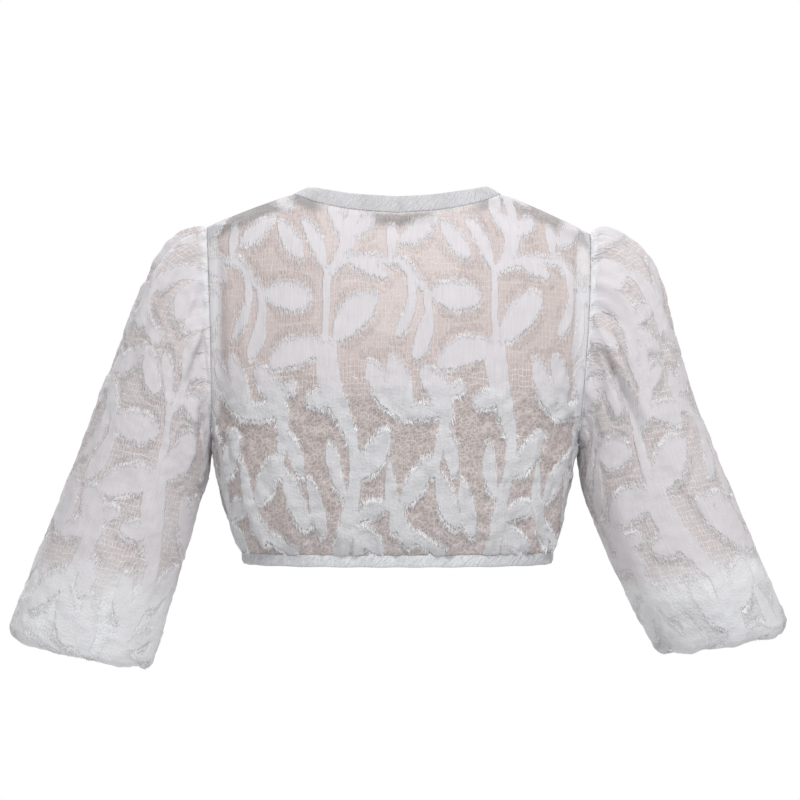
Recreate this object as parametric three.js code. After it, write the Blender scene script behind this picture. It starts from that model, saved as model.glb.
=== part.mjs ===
// Dirndl blouse: a cropped sheer blouse with a bound neck, puffed three-quarter sleeves and an elastic hem.
// It keeps the hollow form that it has when worn. Lengths are millimetres, +Z is up, the front faces -Y and
// the wearer's left is +X. The origin is the middle of the neck opening, level with the wearer's shoulders.
import * as THREE from "three";

// Cloth and seams
const WALL = 1.4;
const BAND_WALL = 2.2;
const BAND_PUFF = 0.5;
const SEAM_GAP = 0.3;
const HALF_GAP = SEAM_GAP / 2;

// Heights of the hem, the underarm and the point where the shoulder seam meets the neck
const HEM_Z = -363;
const HEM_SEAM_Z = -351;
const UNDERARM_Z = -247;
const NECK_POINT = { x: 104, z: 5 };

// How finely each piece is divided
const COLUMNS = 40;
const ROWS_TO_UNDERARM = 4;
const ROWS_TO_SHOULDER = 12;
const NECK_STEPS = COLUMNS / 4;
const CASING_STEPS = 120;
const SLEEVE_STEPS = 48;
const SLEEVE_ROWS = 12;

// The body of the blouse by height: half width at the side seam, sideways lean, and depth at back and front
const BODY = [
  { z: -363, side: 154, lean: 0, back: 84, front: -88 },
  { z: -351, side: 155.5, lean: 0, back: 85, front: -89 },
  { z: -341, side: 160, lean: 0.5, back: 90, front: -95 },
  { z: -328, side: 164.5, lean: 1.5, back: 95, front: -102 },
  { z: -300, side: 172, lean: 3, back: 101, front: -112 },
  { z: -270, side: 178.5, lean: 3.5, back: 105, front: -119 },
  { z: -247, side: 182, lean: 3, back: 107, front: -121 },
  { z: -200, side: 184, lean: 2, back: 110, front: -119 },
  { z: -150, side: 185, lean: 1, back: 110, front: -110 },
  { z: -100, side: 185, lean: 0, back: 104, front: -95 },
  { z: -60, side: 185, lean: 0, back: 93, front: -80 },
  { z: -30, side: 185, lean: 0, back: 78, front: -64 },
  { z: 5, side: 185, lean: 0, back: 52, front: -42 },
];
const BODY_ROUNDNESS = 2.3;

// The armhole seam of each side, from the shoulder tip down to the underarm
const ARMHOLE = {
  left: { sign: 1, topX: 190, middleX: 184, lowX: 185, topZ: -27 },
  right: { sign: -1, topX: 192, middleX: 187, lowX: 179, topZ: -34 },
};
const ARMHOLE_DEPTH = 47;

// The neck seam from the centre (0) to the shoulder (1), and the degrees by which its band stands up
const NECK_BACK = [
  { along: 0, x: 0, z: -17, stand: 24 },
  { along: 0.4, x: 46, z: -13, stand: 22 },
  { along: 0.75, x: 82, z: -4.5, stand: 14 },
  { along: 1, x: 104, z: 5, stand: 8 },
];
const NECK_FRONT = [
  { along: 0, x: 0, z: -150, stand: 3 },
  { along: 0.22, x: 32, z: -141, stand: 3 },
  { along: 0.5, x: 64, z: -104, stand: 4 },
  { along: 0.78, x: 89, z: -48, stand: 5 },
  { along: 1, x: 104, z: 5, stand: 8 },
];
const NECKBAND_HEIGHT = 17;
const SHOULDER_SLOPE = THREE.MathUtils.degToRad(26);
// The part of a panel's top edge that is neck, the rest being shoulder
const NECK_SHARE = 0.5;
// How the shoulder seam curves, and from how far up the rows are drawn towards the neck and how sharply
const SHOULDER_CURVE = 0.85;
const NECK_PULL = { from: 0.35, power: 1.5 };

// Elastic gathers along the hem: how many to a panel, and how far they stand out by height above the seam
const HEM_GATHERS = 10;
const GATHER_RISE = [
  { above: 0, out: 0.4 },
  { above: 12, out: 2 },
  { above: 35, out: 1.4 },
  { above: 75, out: 0.3 },
  { above: 110, out: 0 },
  { above: 400, out: 0 },
];
// Gathers and folds die out towards a seam over this part of a panel's width and over this many rows
const EDGE_FADE = 0.08;
const TOP_FADE_ROWS = 3;
const CASING_GATHERS = 40;
const CASING_RIPPLE = 0.4;

// Each section across a sleeve: its inner and outer point, half its depth, how far its middle lies to the
// front, how far it bows away from the body, and how far its gathers and cuff waves stand out
const SLEEVE = {
  left: [
    { inX: 185, inZ: -247, outX: 190, outZ: -27, deep: 47, middle: 0, bow: -3.5, gather: 0, wave: 0 },
    { inX: 185.6, inZ: -249, outX: 208, outZ: -31, deep: 52, middle: 0, bow: -1, gather: 2.2, wave: 0 },
    { inX: 186.4, inZ: -253, outX: 226, outZ: -43, deep: 56, middle: -1, bow: 0, gather: 3, wave: 0 },
    { inX: 187, inZ: -258, outX: 242, outZ: -65, deep: 59, middle: -1, bow: 0, gather: 2.6, wave: 0 },
    { inX: 187.6, inZ: -264, outX: 256, outZ: -93, deep: 61, middle: -2, bow: 0, gather: 1.8, wave: 0 },
    { inX: 189, inZ: -273, outX: 270, outZ: -125, deep: 62, middle: -3, bow: 0, gather: 1.1, wave: 0 },
    { inX: 193, inZ: -286, outX: 282, outZ: -158, deep: 62, middle: -4, bow: 0, gather: 0.5, wave: 0.3 },
    { inX: 199, inZ: -304, outX: 297, outZ: -193, deep: 62, middle: -5, bow: 0, gather: 0.2, wave: 0.4 },
    { inX: 206, inZ: -327, outX: 311, outZ: -232, deep: 62, middle: -7, bow: 0, gather: 0, wave: 0.5 },
    { inX: 213, inZ: -352, outX: 328, outZ: -274, deep: 63, middle: -9, bow: 0, gather: 0, wave: 0.6 },
    { inX: 221, inZ: -379, outX: 345, outZ: -316, deep: 64, middle: -11, bow: 0, gather: 0, wave: 0.8 },
    { inX: 230, inZ: -408, outX: 362, outZ: -358, deep: 65, middle: -13, bow: 0, gather: 0, wave: 1.1 },
    { inX: 238, inZ: -437, outX: 378, outZ: -397, deep: 65, middle: -15, bow: 0, gather: 0, wave: 1.6 },
    { inX: 245, inZ: -459, outX: 389, outZ: -426, deep: 64, middle: -16, bow: 0, gather: 0, wave: 2 },
  ],
  right: [
    { inX: 179, inZ: -247, outX: 192, outZ: -34, deep: 47, middle: 0, bow: 1.5, gather: 0, wave: 0 },
    { inX: 179.6, inZ: -249, outX: 208, outZ: -31, deep: 52, middle: 0, bow: 1, gather: 2.4, wave: 0 },
    { inX: 180.4, inZ: -253, outX: 228, outZ: -40, deep: 56, middle: -1, bow: 0, gather: 3.2, wave: 0 },
    { inX: 181, inZ: -258, outX: 248, outZ: -56, deep: 59, middle: -1, bow: 0, gather: 2.8, wave: 0 },
    { inX: 181.6, inZ: -264, outX: 262, outZ: -82, deep: 61, middle: -2, bow: 0, gather: 2, wave: 0 },
    { inX: 182.4, inZ: -272, outX: 272, outZ: -114, deep: 62, middle: -3, bow: 0, gather: 1.2, wave: 0 },
    { inX: 185, inZ: -286, outX: 281, outZ: -149, deep: 62, middle: -4, bow: 0, gather: 0.6, wave: 0.3 },
    { inX: 191, inZ: -304, outX: 293, outZ: -188, deep: 62, middle: -5, bow: 0, gather: 0.2, wave: 0.4 },
    { inX: 200, inZ: -327, outX: 309, outZ: -229, deep: 62, middle: -7, bow: 0, gather: 0, wave: 0.5 },
    { inX: 211, inZ: -354, outX: 328, outZ: -276, deep: 63, middle: -9, bow: 0, gather: 0, wave: 0.7 },
    { inX: 224, inZ: -383, outX: 346, outZ: -319, deep: 64, middle: -11, bow: 0, gather: 0, wave: 0.9 },
    { inX: 237, inZ: -410, outX: 362, outZ: -357, deep: 65, middle: -13, bow: 0, gather: 0, wave: 1.2 },
    { inX: 249, inZ: -431, outX: 379, outZ: -395, deep: 65, middle: -15, bow: 0, gather: 0, wave: 1.7 },
    { inX: 257, inZ: -444, outX: 391, outZ: -421, deep: 64, middle: -16, bow: 0, gather: 0, wave: 2 },
  ],
};
const SLEEVE_GATHERS = 12;
const CAP_FADE = 0.6;
const CUFF_WAVES = 8;
const CUFF_PHASE = 0.8;
// The sleeve's end rolls under and runs back up inside to its elastic edge: distance on, and size
const SLEEVE_RETURN = [
  { on: 7, size: 0.96 },
  { on: 11, size: 0.87 },
  { on: 3, size: 0.78 },
  { on: -40, size: 0.68 },
];

// Each fold's ridge rises and falls along its line, and starts this far into that rise
const FOLD_TAPER = 0.1;
// Soft folds, each a line on the front view with the height and half width of its ridge; face 1 is the back
const BODY_FOLDS = [
  { face: 1, x0: 166, z0: -52, x1: 160, z1: -205, height: 3.2, spread: 7 },
  { face: 1, x0: 150, z0: -92, x1: 147, z1: -215, height: 2.4, spread: 7 },
  { face: 1, x0: -170, z0: -60, x1: -163, z1: -212, height: 3.2, spread: 7 },
  { face: 1, x0: -152, z0: -84, x1: -150, z1: -200, height: 2.2, spread: 8 },
  { face: 1, x0: -140, z0: -210, x1: -96, z1: -290, height: 2, spread: 10 },
  { face: -1, x0: 160, z0: -60, x1: 140, z1: -190, height: 3, spread: 9 },
  { face: -1, x0: -160, z0: -64, x1: -140, z1: -195, height: 3, spread: 9 },
  { face: -1, x0: 120, z0: -300, x1: 60, z1: -215, height: 2.4, spread: 11 },
  { face: -1, x0: -118, z0: -304, x1: -64, z1: -220, height: 2.4, spread: 11 },
];
const SLEEVE_FOLDS = {
  left: [
    { face: 1, x0: 193, z0: -88, x1: 222, z1: -150, height: 4.2, spread: 6 },
    { face: 1, x0: 192, z0: -122, x1: 212, z1: -178, height: 3.4, spread: 5 },
    { face: 1, x0: 196, z0: -170, x1: 205, z1: -290, height: 4, spread: 7 },
    { face: 1, x0: 262, z0: -250, x1: 236, z1: -345, height: 2.6, spread: 9 },
    { face: -1, x0: 196, z0: -96, x1: 228, z1: -170, height: 4, spread: 7 },
    { face: -1, x0: 250, z0: -260, x1: 282, z1: -350, height: 2.8, spread: 9 },
  ],
  right: [
    { face: 1, x0: -200, z0: -104, x1: -252, z1: -226, height: 4.6, spread: 6 },
    { face: 1, x0: -256, z0: -246, x1: -328, z1: -345, height: 3.6, spread: 7 },
    { face: 1, x0: -194, z0: -130, x1: -214, z1: -205, height: 3.6, spread: 5 },
    { face: 1, x0: -206, z0: -262, x1: -238, z1: -372, height: 2.8, spread: 8 },
    { face: -1, x0: -198, z0: -98, x1: -230, z1: -176, height: 4, spread: 7 },
    { face: -1, x0: -244, z0: -266, x1: -280, z1: -352, height: 2.8, spread: 9 },
  ],
};

// The blank woven label inside the back of the neck
const LABEL = { middleX: -5, width: 59, top: 2.5, height: 14, thick: 0.8, columns: 8, rows: 2 };

// Colours of cloth and label
const SHEER_CLOTH = new THREE.MeshStandardMaterial({ color: 0xd9cfcc, roughness: 0.9, metalness: 0 });
const BAND_CLOTH = new THREE.MeshStandardMaterial({ color: 0xe4e4e6, roughness: 0.9, metalness: 0 });
const LABEL_CLOTH = new THREE.MeshStandardMaterial({ color: 0x5a5c62, roughness: 0.8, metalness: 0 });

const { lerp, clamp, smoothstep } = THREE.MathUtils;
// Steps for measuring slopes: in millimetres over a panel, and in parts of the neck seam along it
const SLOPE_STEP = 0.5;
const ALONG_STEP = 0.02;

// Reads a column of a table at any value of its key, on a smooth curve through the rows.
function reader(table, key) {
  const last = table.length - 1;
  const slope = (i, column) => {
    const before = table[Math.max(i - 1, 0)];
    const after = table[Math.min(i + 1, last)];
    return (after[column] - before[column]) / (after[key] - before[key]);
  };
  return (at, column) => {
    let i = 0;
    while (i < last - 1 && at > table[i + 1][key]) i++;
    const span = table[i + 1][key] - table[i][key];
    const u = clamp((at - table[i][key]) / span, 0, 1);
    const rise = u * u * (3 - 2 * u);
    const leaving = u * (1 - u) * (1 - u) * span * slope(i, column);
    const arriving = u * u * (1 - u) * span * slope(i + 1, column);
    return lerp(table[i][column], table[i + 1][column], rise) + leaving - arriving;
  };
}

const readBody = reader(BODY, "z");
const readGather = reader(GATHER_RISE, "above");
const readNeck = { back: reader(NECK_BACK, "along"), front: reader(NECK_FRONT, "along") };

// How far the soft folds lift a point that lies at (x, z) on the given face.
function foldLift(folds, face, x, z) {
  let lift = 0;
  for (const fold of folds) {
    if (fold.face !== face) continue;
    const dx = fold.x1 - fold.x0;
    const dz = fold.z1 - fold.z0;
    const along = clamp(((x - fold.x0) * dx + (z - fold.z0) * dz) / (dx * dx + dz * dz), 0, 1);
    const away = Math.hypot(x - fold.x0 - along * dx, z - fold.z0 - along * dz) / fold.spread;
    const taper = Math.sin(Math.PI * lerp(FOLD_TAPER, 1 - FOLD_TAPER, along));
    lift += fold.height * taper * Math.exp(-away * away);
  }
  return lift;
}

// Where height z meets the armhole, as cosine and sine round its oval.
function armholeAt(arm, z) {
  const middle = (arm.topZ + UNDERARM_Z) / 2;
  const half = (arm.topZ - UNDERARM_Z) / 2;
  const cosine = clamp((z - middle) / half, -1, 1);
  return { cosine, sine: Math.sqrt(1 - cosine * cosine) };
}

function armholeX(arm, cosine) {
  const bow = (arm.topX + arm.lowX) / 2 - arm.middleX;
  return arm.middleX + ((arm.topX - arm.lowX) / 2) * cosine + bow * cosine * cosine;
}

// The edge of a panel at height z: side seam, armhole or shoulder seam.
function panelEdge(arm, z) {
  if (z <= UNDERARM_Z) {
    return { x: arm.sign * readBody(z, "side") + readBody(z, "lean"), depth: 0 };
  }
  if (z >= arm.topZ) {
    const up = clamp((z - arm.topZ) / (NECK_POINT.z - arm.topZ), 0, 1);
    const x = NECK_POINT.x + (arm.topX - NECK_POINT.x) * Math.pow(1 - up, SHOULDER_CURVE);
    return { x: arm.sign * x, depth: 0 };
  }
  const { cosine, sine } = armholeAt(arm, z);
  return { x: arm.sign * (armholeX(arm, cosine) - HALF_GAP), depth: ARMHOLE_DEPTH * sine };
}

const oval = (q) => Math.pow(1 - Math.pow(Math.min(Math.abs(q), 1), BODY_ROUNDNESS), 1 / BODY_ROUNDNESS);

// How far round the body's oval a panel's edge lies, from 0 at the centre to 1 at the side.
function edgeReach(panel, edge, z) {
  return oval(edge.depth / Math.abs(readBody(z, panel.name)));
}

// The depth of a panel at (x, z), before folds and gathers.
function panelDepth(panel, x, z) {
  const lean = readBody(z, "lean");
  const arm = x >= lean ? ARMHOLE.left : ARMHOLE.right;
  const edge = panelEdge(arm, z);
  const middle = readBody(z, panel.name);
  const out = clamp((x - lean) / (edge.x - lean), 0, 1) * edgeReach(panel, edge, z);
  return panel.face * Math.max(Math.abs(middle) * oval(out), HALF_GAP);
}

// The top edge of a panel at s, from -1 at the right shoulder tip to 1 at the left one.
function topEdge(panel, s) {
  const arm = s >= 0 ? ARMHOLE.left : ARMHOLE.right;
  const along = Math.abs(s) / NECK_SHARE;
  if (along <= 1) {
    const read = readNeck[panel.name];
    return { x: arm.sign * read(along, "x"), z: read(along, "z") };
  }
  const z = lerp(NECK_POINT.z, arm.topZ, (Math.abs(s) - NECK_SHARE) / (1 - NECK_SHARE));
  return { x: panelEdge(arm, z).x, z };
}

// Heights of the rows at one side: even up to the underarm, then even round the armhole's oval.
function rowHeights(arm) {
  const heights = [];
  for (let i = 0; i < ROWS_TO_UNDERARM; i++) {
    heights.push(lerp(HEM_SEAM_Z, UNDERARM_Z, i / ROWS_TO_UNDERARM));
  }
  for (let i = 0; i <= ROWS_TO_SHOULDER; i++) {
    const round = Math.cos(Math.PI * (1 - i / ROWS_TO_SHOULDER));
    heights.push(lerp(UNDERARM_Z, arm.topZ, (1 + round) / 2));
  }
  return heights;
}

const ROW_HEIGHTS = { left: rowHeights(ARMHOLE.left), right: rowHeights(ARMHOLE.right) };

function rowShare(side, row) {
  return (ROW_HEIGHTS[side][row] - HEM_SEAM_Z) / (ARMHOLE[side].topZ - HEM_SEAM_Z);
}

// A point of a panel on row and at s, before folds and gathers.
function panelPoint(panel, row, s) {
  const side = s >= 0 ? "left" : "right";
  const middleShare = (rowShare("left", row) + rowShare("right", row)) / 2;
  const share = lerp(middleShare, rowShare(side, row), Math.abs(s));
  const top = topEdge(panel, s);
  const z = lerp(HEM_SEAM_Z, top.z, share);
  const edge = panelEdge(ARMHOLE[side], ROW_HEIGHTS[side][row]);
  const lean = readBody(ROW_HEIGHTS[side][row], "lean");
  const reach = edgeReach(panel, edge, ROW_HEIGHTS[side][row]);
  const spread = Math.sin(Math.abs(s) * Math.asin(reach)) / reach;
  const topX = ARMHOLE[side].sign * ARMHOLE[side].topX;
  const towardTop = Math.pow(smoothstep(share, NECK_PULL.from, 1), NECK_PULL.power);
  const x = lerp(lerp(lean, edge.x, spread), (top.x * edge.x) / topX, towardTop);
  if (Math.abs(s) === 1) return new THREE.Vector3(edge.x, panel.face * Math.max(edge.depth, HALF_GAP), z);
  return new THREE.Vector3(x, panelDepth(panel, x, z), z);
}

// Normals of a grid of points, from its neighbours on either side; wrap closes each row on itself.
function gridNormals(grid, wrap) {
  return grid.map((row, j) =>
    row.map((point, i) => {
      const count = row.length;
      const before = wrap ? row[(i + count - 1) % count] : row[Math.max(i - 1, 0)];
      const after = wrap ? row[(i + 1) % count] : row[Math.min(i + 1, count - 1)];
      const under = grid[Math.max(j - 1, 0)][i];
      const over = grid[Math.min(j + 1, grid.length - 1)][i];
      const across = after.clone().sub(before);
      const up = over.clone().sub(under);
      return across.cross(up).normalize();
    }),
  );
}

// A closed mesh between an outer and an inner grid of points; wrap closes each row on itself.
function closedWall(outer, inner, wrap) {
  const rows = outer.length;
  const columns = outer[0].length;
  const points = [...outer.flat(), ...inner.flat()];
  const at = (layer, j, i) => layer * rows * columns + j * columns + (i % columns);
  const index = [];
  const quad = (a, b, c, d) => index.push(a, b, c, a, c, d);
  const steps = wrap ? columns : columns - 1;
  for (let j = 0; j < rows - 1; j++) {
    for (let i = 0; i < steps; i++) {
      quad(at(0, j, i), at(0, j, i + 1), at(0, j + 1, i + 1), at(0, j + 1, i));
      quad(at(1, j, i), at(1, j + 1, i), at(1, j + 1, i + 1), at(1, j, i + 1));
    }
  }
  for (let i = 0; i < steps; i++) {
    quad(at(0, 0, i + 1), at(0, 0, i), at(1, 0, i), at(1, 0, i + 1));
    quad(at(0, rows - 1, i), at(0, rows - 1, i + 1), at(1, rows - 1, i + 1), at(1, rows - 1, i));
  }
  if (!wrap) {
    const end = columns - 1;
    for (let j = 0; j < rows - 1; j++) {
      quad(at(0, j, 0), at(0, j + 1, 0), at(1, j + 1, 0), at(1, j, 0));
      quad(at(0, j + 1, end), at(0, j, end), at(1, j, end), at(1, j + 1, end));
    }
  }
  const geometry = new THREE.BufferGeometry();
  geometry.setAttribute("position", new THREE.Float32BufferAttribute(points.flatMap((p) => p.toArray()), 3));
  geometry.setIndex(insideVolume(points, index) < 0 ? index.reverse() : index);
  geometry.computeVertexNormals();
  return geometry;
}

function insideVolume(points, index) {
  let volume = 0;
  const across = new THREE.Vector3();
  for (let i = 0; i < index.length; i += 3) {
    const [a, b, c] = [points[index[i]], points[index[i + 1]], points[index[i + 2]]];
    volume += a.dot(across.crossVectors(b, c)) / 6;
  }
  return volume;
}

const moved = (point, direction, by) => point.clone().addScaledVector(direction, by);

function neckSeam(panel, side, along) {
  const read = readNeck[panel.name];
  const x = ARMHOLE[side].sign * read(along, "x");
  const z = read(along, "z");
  return new THREE.Vector3(x, along === 1 ? 0 : panelDepth(panel, x, z), z);
}

// At the neck seam: the way along it, the way out of the cloth, and the way up into the neck opening.
function neckFrame(panel, side, along) {
  const sign = ARMHOLE[side].sign;
  const seam = neckSeam(panel, side, along);
  if (along === 1) {
    const out = new THREE.Vector3(sign * Math.sin(SHOULDER_SLOPE), 0, Math.cos(SHOULDER_SLOPE));
    const up = new THREE.Vector3(-sign * Math.cos(SHOULDER_SLOPE), 0, Math.sin(SHOULDER_SLOPE));
    return { seam, out, up };
  }
  const depthAt = (dx, dz) => panelDepth(panel, seam.x + dx, seam.z + dz);
  const slopeX = (depthAt(SLOPE_STEP, 0) - depthAt(-SLOPE_STEP, 0)) / (2 * SLOPE_STEP);
  const slopeZ = (depthAt(0, 0) - depthAt(0, -SLOPE_STEP)) / SLOPE_STEP;
  const out = new THREE.Vector3(-slopeX, 1, -slopeZ).multiplyScalar(panel.face).normalize();
  const after = neckSeam(panel, side, Math.min(along + ALONG_STEP, 1 - ALONG_STEP));
  const atMiddle = along < ALONG_STEP;
  const way = atMiddle ? new THREE.Vector3(1, 0, 0) : after.sub(neckSeam(panel, side, along - ALONG_STEP));
  const up = way.cross(out).normalize();
  if (up.z < 0) up.negate();
  return { seam, out, up };
}

// Cloth panel: a grid with its folds and gathers, and its outward normals, set square at the seams.
function panelGrid(panel) {
  const rows = ROWS_TO_UNDERARM + ROWS_TO_SHOULDER;
  const grid = [];
  for (let j = 0; j <= rows; j++) {
    const row = [];
    for (let i = 0; i <= COLUMNS; i++) row.push(panelPoint(panel, j, (2 * i) / COLUMNS - 1));
    grid.push(row);
  }
  const facing = panel.face > 0 ? -1 : 1;
  const normals = gridNormals(grid, false).map((row) => row.map((n) => n.multiplyScalar(facing)));
  grid.forEach((row, j) =>
    row.forEach((point, i) => {
      const s = (2 * i) / COLUMNS - 1;
      const n = normals[j][i];
      const share = Math.abs(s);
      if (share === 1 && j <= ROWS_TO_UNDERARM) n.setY(0).normalize();
      if (j === 0) n.setZ(0).normalize();
      if (j === rows && share > NECK_SHARE) n.setY(0).normalize();
      if (j === rows && share === 1) n.set(0, 0, 1);
      if (j === rows && share <= NECK_SHARE) {
        n.copy(neckFrame(panel, s >= 0 ? "left" : "right", share / NECK_SHARE).out);
      }
      if (j === rows || share === 1) return;
      const edgeFade = smoothstep(1 - share, 0, EDGE_FADE);
      const gather = readGather(point.z - HEM_SEAM_Z, "out") * Math.cos(Math.PI * s * HEM_GATHERS);
      const topFade = smoothstep(rows - j, 0, TOP_FADE_ROWS);
      const fold = foldLift(BODY_FOLDS, panel.face, point.x, point.z) * topFade;
      point.addScaledVector(n, (gather + fold) * edgeFade);
    }),
  );
  return { grid, normals };
}

const BACK = { name: "back", face: 1 };
const FRONT = { name: "front", face: -1 };
const PANEL_GRIDS = { back: panelGrid(BACK), front: panelGrid(FRONT) };

function panelWall(panel) {
  const { grid, normals } = PANEL_GRIDS[panel.name];
  const inner = grid.map((row, j) => row.map((point, i) => moved(point, normals[j][i], -WALL)));
  return closedWall(grid, inner, false);
}

// A sleeve section as a ring of points, or the armhole seam for the first.
function sleeveRing(side, section, theta) {
  const sign = ARMHOLE[side].sign;
  const { inX, inZ, outX, outZ } = section;
  const across = new THREE.Vector3(sign * (outX - inX), 0, outZ - inZ).divideScalar(2);
  const centre = new THREE.Vector3(sign * (outX + inX), 0, outZ + inZ).divideScalar(2);
  centre.y = section.middle;
  const cosine = Math.cos(theta);
  const sine = Math.sin(theta);
  const bow = sign * section.bow * sine * sine;
  return centre.addScaledVector(across, cosine * section.size).add(
    new THREE.Vector3(bow + section.onX, section.deep * section.size * sine, section.onZ),
  );
}

const SLEEVE_COLUMNS = ["inX", "inZ", "outX", "outZ", "deep", "middle", "bow", "gather", "wave"];

// All sections of a sleeve, from the armhole to the end of its turned-in return.
function sleeveSections(side) {
  const table = SLEEVE[side].map((row, i) => ({ ...row, at: i / (SLEEVE[side].length - 1) }));
  const read = reader(table, "at");
  const sections = [];
  for (let j = 0; j <= SLEEVE_ROWS; j++) {
    const section = { size: 1, onX: 0, onZ: 0 };
    for (const column of SLEEVE_COLUMNS) section[column] = read(j / SLEEVE_ROWS, column);
    sections.push(section);
  }
  sections[0].onX = ARMHOLE[side].sign * HALF_GAP;
  const end = sections[SLEEVE_ROWS];
  const down = new THREE.Vector2(end.outZ - end.inZ, end.inX - end.outX).normalize();
  for (const { on, size } of SLEEVE_RETURN) {
    sections.push({ ...end, size, onX: ARMHOLE[side].sign * down.x * on, onZ: down.y * on });
  }
  return sections;
}

// Angle round a sleeve: 0 is its outer line, a quarter turn its back, a half turn its underarm seam.
const sleeveAngle = (i) => (2 * Math.PI * i) / SLEEVE_STEPS;

function sleeveWall(side) {
  const sections = sleeveSections(side);
  const sign = ARMHOLE[side].sign;
  const grid = sections.map((section) =>
    Array.from({ length: SLEEVE_STEPS }, (_, i) => sleeveRing(side, section, sleeveAngle(i))),
  );
  const normals = gridNormals(grid, true).map((row) => row.map((n) => n.multiplyScalar(-sign)));
  normals[0].forEach((n) => n.setX(0).normalize());
  const outer = grid.map((row, j) =>
    row.map((point, i) => {
      if (j === 0) return point;
      const theta = sleeveAngle(i);
      const overCap = Math.pow((1 + Math.cos(theta)) / 2, CAP_FADE);
      const gather = sections[j].gather * overCap * Math.cos(theta * SLEEVE_GATHERS);
      const wave = sections[j].wave * Math.cos(theta * CUFF_WAVES + CUFF_PHASE);
      const face = Math.sin(theta) >= 0 ? 1 : -1;
      const flank = Math.abs(Math.sin(theta)) * (j <= SLEEVE_ROWS ? 1 : 0);
      const fold = foldLift(SLEEVE_FOLDS[side], face, point.x, point.z) * flank;
      return moved(point, normals[j][i], gather + wave + fold);
    }),
  );
  const inner = outer.map((row, j) => row.map((point, i) => moved(point, normals[j][i], -WALL)));
  return closedWall(outer, inner, true);
}

// The neckband: a folded strip that stands on the neck seam all the way round.
function neckband() {
  const outer = [[], [], []];
  const inner = [[], [], []];
  for (let i = 0; i < 4 * NECK_STEPS; i++) {
    const quarter = Math.floor(i / NECK_STEPS);
    const part = (i % NECK_STEPS) / NECK_STEPS;
    const panel = quarter === 0 || quarter === 3 ? BACK : FRONT;
    const side = quarter < 2 ? "left" : "right";
    const along = quarter % 2 === 0 ? part : 1 - part;
    const { seam, out, up } = neckFrame(panel, side, along);
    const stand = THREE.MathUtils.degToRad(readNeck[panel.name](along, "stand"));
    const rise = up.clone().multiplyScalar(Math.cos(stand)).addScaledVector(out, Math.sin(stand));
    const face = out.clone().multiplyScalar(Math.cos(stand)).addScaledVector(up, -Math.sin(stand));
    const base = moved(seam, up, SEAM_GAP);
    [0, 0.5, 1].forEach((share, k) => {
      const point = moved(base, rise, share * NECKBAND_HEIGHT);
      const puff = share === 0.5 ? BAND_PUFF : 0;
      outer[k].push(moved(point, face, puff));
      inner[k].push(moved(point, face, puff - BAND_WALL));
    });
  }
  return closedWall(outer, inner, true);
}

// The elastic hem casing: a flat ring under the hem seam, drawn into small gathers.
function hemCasing() {
  const heights = [HEM_Z, HEM_SEAM_Z - SEAM_GAP];
  const ring = (z, out) =>
    Array.from({ length: CASING_STEPS }, (_, i) => {
      const theta = (2 * Math.PI * i) / CASING_STEPS;
      const panel = Math.cos(theta) >= 0 ? BACK : FRONT;
      const half = readBody(z, "side") - out;
      const deep = Math.abs(readBody(z, panel.name)) - out;
      const ripple = CASING_RIPPLE * Math.cos(theta * CASING_GATHERS);
      const x = Math.sin(theta);
      const y = panel.face * oval(x);
      return new THREE.Vector3(x * (half + ripple), y * (deep + ripple), z);
    });
  const outer = heights.map((z) => ring(z, 0));
  const inner = heights.map((z) => ring(z, BAND_WALL));
  return closedWall(outer, inner, true);
}

// A point of the back's own surface and its normal, at a depth below the neck seam and at x.
function backSurface(x, below) {
  const { grid, normals } = PANEL_GRIDS.back;
  const last = grid.length - 1;
  let i = 0;
  while (i < COLUMNS - 1 && grid[last][i + 1].x < x) i++;
  const across = (x - grid[last][i].x) / (grid[last][i + 1].x - grid[last][i].x);
  let j = last - 1;
  while (j > 0 && grid[last][i].z - grid[j][i].z < below) j--;
  const low = grid[last][i].z - grid[j][i].z;
  const high = grid[last][i].z - grid[j + 1][i].z;
  const up = (low - below) / (low - high);
  const blend = (rows) => {
    const lower = rows[j][i].clone().lerp(rows[j][i + 1], across);
    return lower.lerp(rows[j + 1][i].clone().lerp(rows[j + 1][i + 1], across), up);
  };
  return { point: blend(grid), normal: blend(normals).normalize() };
}

// The label lies against the inside of the back, made from the back's own surface.
function labelPatch() {
  const outer = [];
  const inner = [];
  for (let j = 0; j <= LABEL.rows; j++) {
    const below = LABEL.top + (LABEL.height * j) / LABEL.rows;
    const row = Array.from({ length: LABEL.columns + 1 }, (_, i) =>
      backSurface(LABEL.middleX + LABEL.width * (i / LABEL.columns - 0.5), below),
    );
    outer.push(row.map(({ point, normal }) => moved(point, normal, -WALL - 2 * SEAM_GAP)));
    inner.push(row.map(({ point, normal }) => moved(point, normal, -WALL - 2 * SEAM_GAP - LABEL.thick)));
  }
  return closedWall(outer, inner, false);
}

function piece(name, geometry, material) {
  const mesh = new THREE.Mesh(geometry, material);
  mesh.name = name;
  return mesh;
}

const blouse = new THREE.Group();
blouse.add(
  piece("back", panelWall(BACK), SHEER_CLOTH),
  piece("front", panelWall(FRONT), SHEER_CLOTH),
  piece("sleeve_left", sleeveWall("left"), SHEER_CLOTH),
  piece("sleeve_right", sleeveWall("right"), SHEER_CLOTH),
  piece("neckband", neckband(), BAND_CLOTH),
  piece("hem_casing", hemCasing(), BAND_CLOTH),
  piece("neck_label", labelPatch(), LABEL_CLOTH),
);

export default blouse;
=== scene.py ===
"""Dirndl blouse: sheer cloth with woven leaves, set on its CAD frame. Tables hold millimetres."""
import math

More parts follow.
